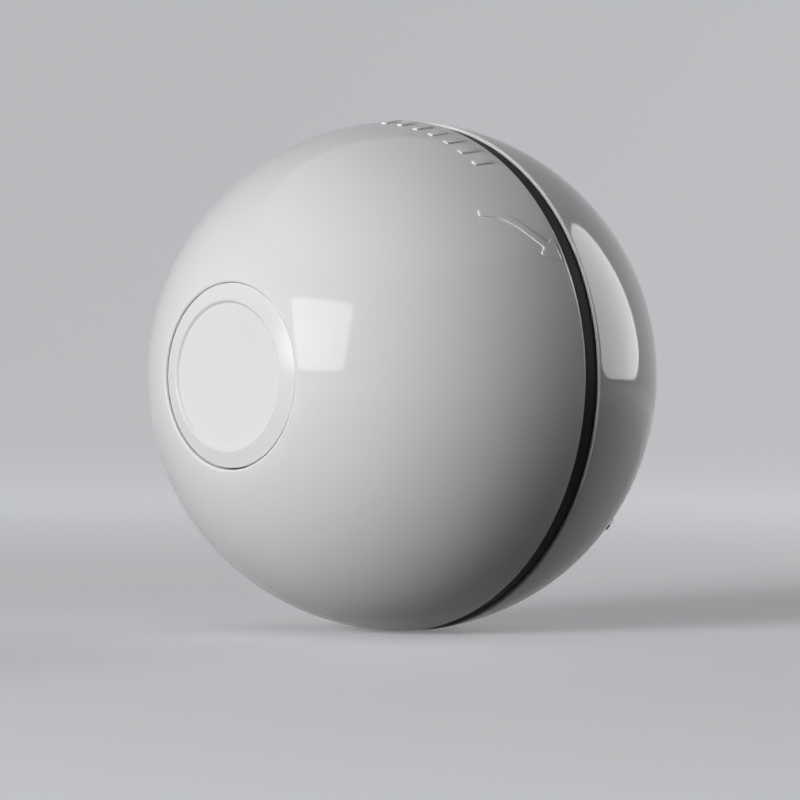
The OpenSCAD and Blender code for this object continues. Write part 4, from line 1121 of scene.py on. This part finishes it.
signal_corners = [(0, signal_top, 0), (signal_r, signal_top, 0.3 * mm), (signal_r, signal_low, 0),
                  (0, signal_low, 0)]
phosphor = moulded("phosphor", (0.80, 0.62, 0.10), (0.72, 0.54, 0.08), 0.01, 600, 6000, 0.45, 0.6)
for name, corners, x, up, material, node, stands in (
        ("lamp_lens", lamp_corners, lamp_x, lamp_up, clear_lens, "lamp", True),
        ("lamp_cup", cup_corners, lamp_x, lamp_up, nickel, "charge_socket", False),
        ("signal_lens", signal_corners, signal_x, signal_up, red_lens, "signal_lamp", True)):
    bm = turned(softened(corners), steps=48, closed=False)
    bmesh.ops.translate(bm, vec=(x, 0, up), verts=bm.verts)
    piece(name, bm, material, node, replaces=stands)
bm = bmesh.new()
chip_place = Matrix.Translation((lamp_x, -cup_floor - 0.1 * mm, lamp_up))
chip_size = (0.7 * mm, 0.3 * mm, 0.7 * mm)
chip_soft = 0.05 * mm
add_block(bm, chip_place, chip_size, chip_soft)
piece("lamp_chip", bm, phosphor, "lamp", replaces=False)

# %% [markdown]
# ## Leads inside the drum
# Two pairs of leads run behind the cover, from the motor and from the cell to the board. Each is a smooth
# curve through a few listed points, given as across, up and ahead in millimetres, with a round bevel for its
# sheath.


# %% Draw the leads
lead_r = 0.42 * mm


def lead(name, route, material, node):
    """A round lead through a list of points on the drum's own axes."""
    path = bpy.data.curves.new(name, "CURVE")
    path.dimensions = "3D"
    path.bevel_depth = lead_r
    path.bevel_resolution = 4
    path.resolution_u = 6
    path.use_fill_caps = True
    spline = path.splines.new("BEZIER")
    spline.bezier_points.add(len(route) - 1)
    for point, (x, up, ahead) in zip(spline.bezier_points, route):
        point.co = (x * mm, up * mm, ahead * mm)
        point.handle_left_type = point.handle_right_type = "AUTO"
    bm = mesh_of(path)
    bmesh.ops.transform(bm, matrix=face_out, verts=bm.verts)
    piece(name, bm, material, node)


sheath_red = moulded("sheath_red", (0.45, 0.02, 0.015), (0.36, 0.018, 0.014), 0.01, 240, 2400, 0.3, 0.42)
sheath_black = moulded("sheath_black", (0.02, 0.02, 0.021), (0.04, 0.04, 0.04), 0.01, 240, 2400, 0.3, 0.42)
red_motor_route = [(-16.664, -5.326, 11.9), (-16.664, -3.126, 11.9), (-16.2, -1.2, 11.8), (-15.2, 1.4, 11.4),
                   (-13.2, 3.6, 10.6), (-12.2, 4.6, 9.5), (-12.2, 4.6, 8.2)]
black_motor_route = [(-11.464, -5.326, 11.9), (-11.464, -3.126, 11.9), (-11.2, -1.2, 11.8),
                     (-10.4, 1.4, 11.4), (-9.4, 3.4, 10.6), (-9, 4.2, 9.5), (-9, 4.2, 8.2)]
lead("red_motor_lead", red_motor_route, sheath_red, "motor_lead_red")
lead("black_motor_lead", black_motor_route, sheath_black, "motor_lead_black")
cell_route = [(0, -8.8, 10.45), (0, -8.8, 11.2), (0, -6.8, 11.9), (0.2, -4.4, 11.9), (0.4, -2, 11.8),
              (0.6, 0.6, 11.4), (0.8, 2.9, 10.6), (0.8, 3.9, 9.5), (0.8, 3.9, 8.2)]
for name, start_x, material, node in (("red_cell_lead", 5.6, sheath_red, "cell_lead_red"),
                                      ("black_cell_lead", 8.8, sheath_black, "cell_lead_black")):
    lead(name, [(start_x + x, up, ahead) for x, up, ahead in cell_route], material, node)

# %% [markdown]
# ## Finishes for the drive
# The motor, gear train, cell and board sit in the closed drum. Their solids already have true shapes, so they
# are kept, and each gets the finish of its real material. Four of them need more than the shared builder: the
# board has tracks under its green mask, the cell a printed wrap, the foam open pores, and the armature copper
# windings. Each of those starts from a plain finish and puts one texture in front of its colour.


# %% A texture in front of a plain finish
def patterned(material, texture_kind, scale, second, low, high, output="Fac"):
    """Mixes a second colour into a finish where a texture on Object coordinates passes from low to high."""
    tree = material.node_tree
    shader = tree.nodes["Principled BSDF"]
    plain = shader.inputs["Base Color"].links[0].from_socket
    place = tree.nodes.new("ShaderNodeTexCoord")
    texture = set_inputs(tree.nodes.new(texture_kind), Scale=scale)
    edge = set_inputs(tree.nodes.new("ShaderNodeMapRange"), From_Min=low, From_Max=high)
    tree.links.new(place.outputs["Object"], texture.inputs["Vector"])
    tree.links.new(texture.outputs[output], edge.inputs["Value"])
    blend = mixed(tree, edge.outputs["Result"], plain, (*second, 1))
    tree.links.new(blend, shader.inputs["Base Color"])


board_green = moulded("green_mask", (0.012, 0.10, 0.04), (0.01, 0.08, 0.03), 0.01, 300, 3000, 0.2, 0.3)
patterned(board_green, "ShaderNodeTexBrick", 260, (0.03, 0.19, 0.075), 0.4, 0.6)
cell_wrap = moulded("printed_wrap", (0.06, 0.16, 0.34), (0.05, 0.13, 0.28), 0.008, 120, 1200, 0.24, 0.36)
patterned(cell_wrap, "ShaderNodeTexWave", 22, (0.55, 0.57, 0.60), 0.86, 0.9)
foam = moulded("open_foam", (0.05, 0.05, 0.052), (0.08, 0.08, 0.08), 0.05, 300, 2200, 0.8, 0.95)
patterned(foam, "ShaderNodeTexVoronoi", 2600, (0.015, 0.015, 0.016), 0.45, 0.2, "Distance")
windings = machined("windings", (0.55, 0.20, 0.07), (0.45, 0.15, 0.05), 0.02, 2600, 0.25, 0.4)
patterned(windings, "ShaderNodeTexWave", 420, (0.25, 0.08, 0.03), 0.6, 0.9)
print("patterned:", [material.name for material in (board_green, cell_wrap, foam, windings)])

# %% Dress the kept nodes
mill_steel = moulded("mill_steel", (0.30, 0.29, 0.29), (0.20, 0.19, 0.19), 0.02, 160, 1800, 0.35, 0.6,
                     Metallic=1.0)
plate_white = moulded("white_moulding", (0.66, 0.66, 0.65), (0.60, 0.60, 0.59), 0.012, 140, 2200, 0.34, 0.46)
gear_acetal = moulded("gear_acetal", (0.70, 0.69, 0.64), (0.63, 0.62, 0.57), 0.006, 220, 2600, 0.24, 0.36)
chip_epoxy = moulded("chip_epoxy", (0.022, 0.022, 0.024), (0.04, 0.04, 0.042), 0.015, 500, 7000, 0.45, 0.62)
chip_tan = moulded("chip_tan", (0.32, 0.22, 0.13), (0.26, 0.17, 0.10), 0.008, 500, 5000, 0.35, 0.5)
dressed = {
    drum_grey: ["drum_tub"], plate_white: ["gear_plate"], gear_acetal: ["first_gear", "second_gear"],
    steel: ["axle_gear", "first_gear_pin", "second_gear_pin", "motor_shaft"], nickel: ["motor_can"],
    dark_steel: ["axle_screw", "front_bush_clip", "gear_plate_screws", "motor_screws", "board_screws"],
    nylon: ["thrust_washer", "switch_plunger"], black_nylon: ["motor_end_cap", "switch_body"],
    brass: ["motor_terminals", "motor_pinion"], windings: ["motor_armature"], cell_wrap: ["battery_cell"],
    foam: ["battery_pad"], mill_steel: ["ballast"], board_green: ["circuit_board"],
    chip_epoxy: ["control_chip"], chip_tan: ["small_chips"]}
for material, names in dressed.items():
    for name in names:
        for material_slot in nodes[name].material_slots:
            material_slot.material = material
print("dressed:", sum(len(names) for names in dressed.values()), "kept nodes")
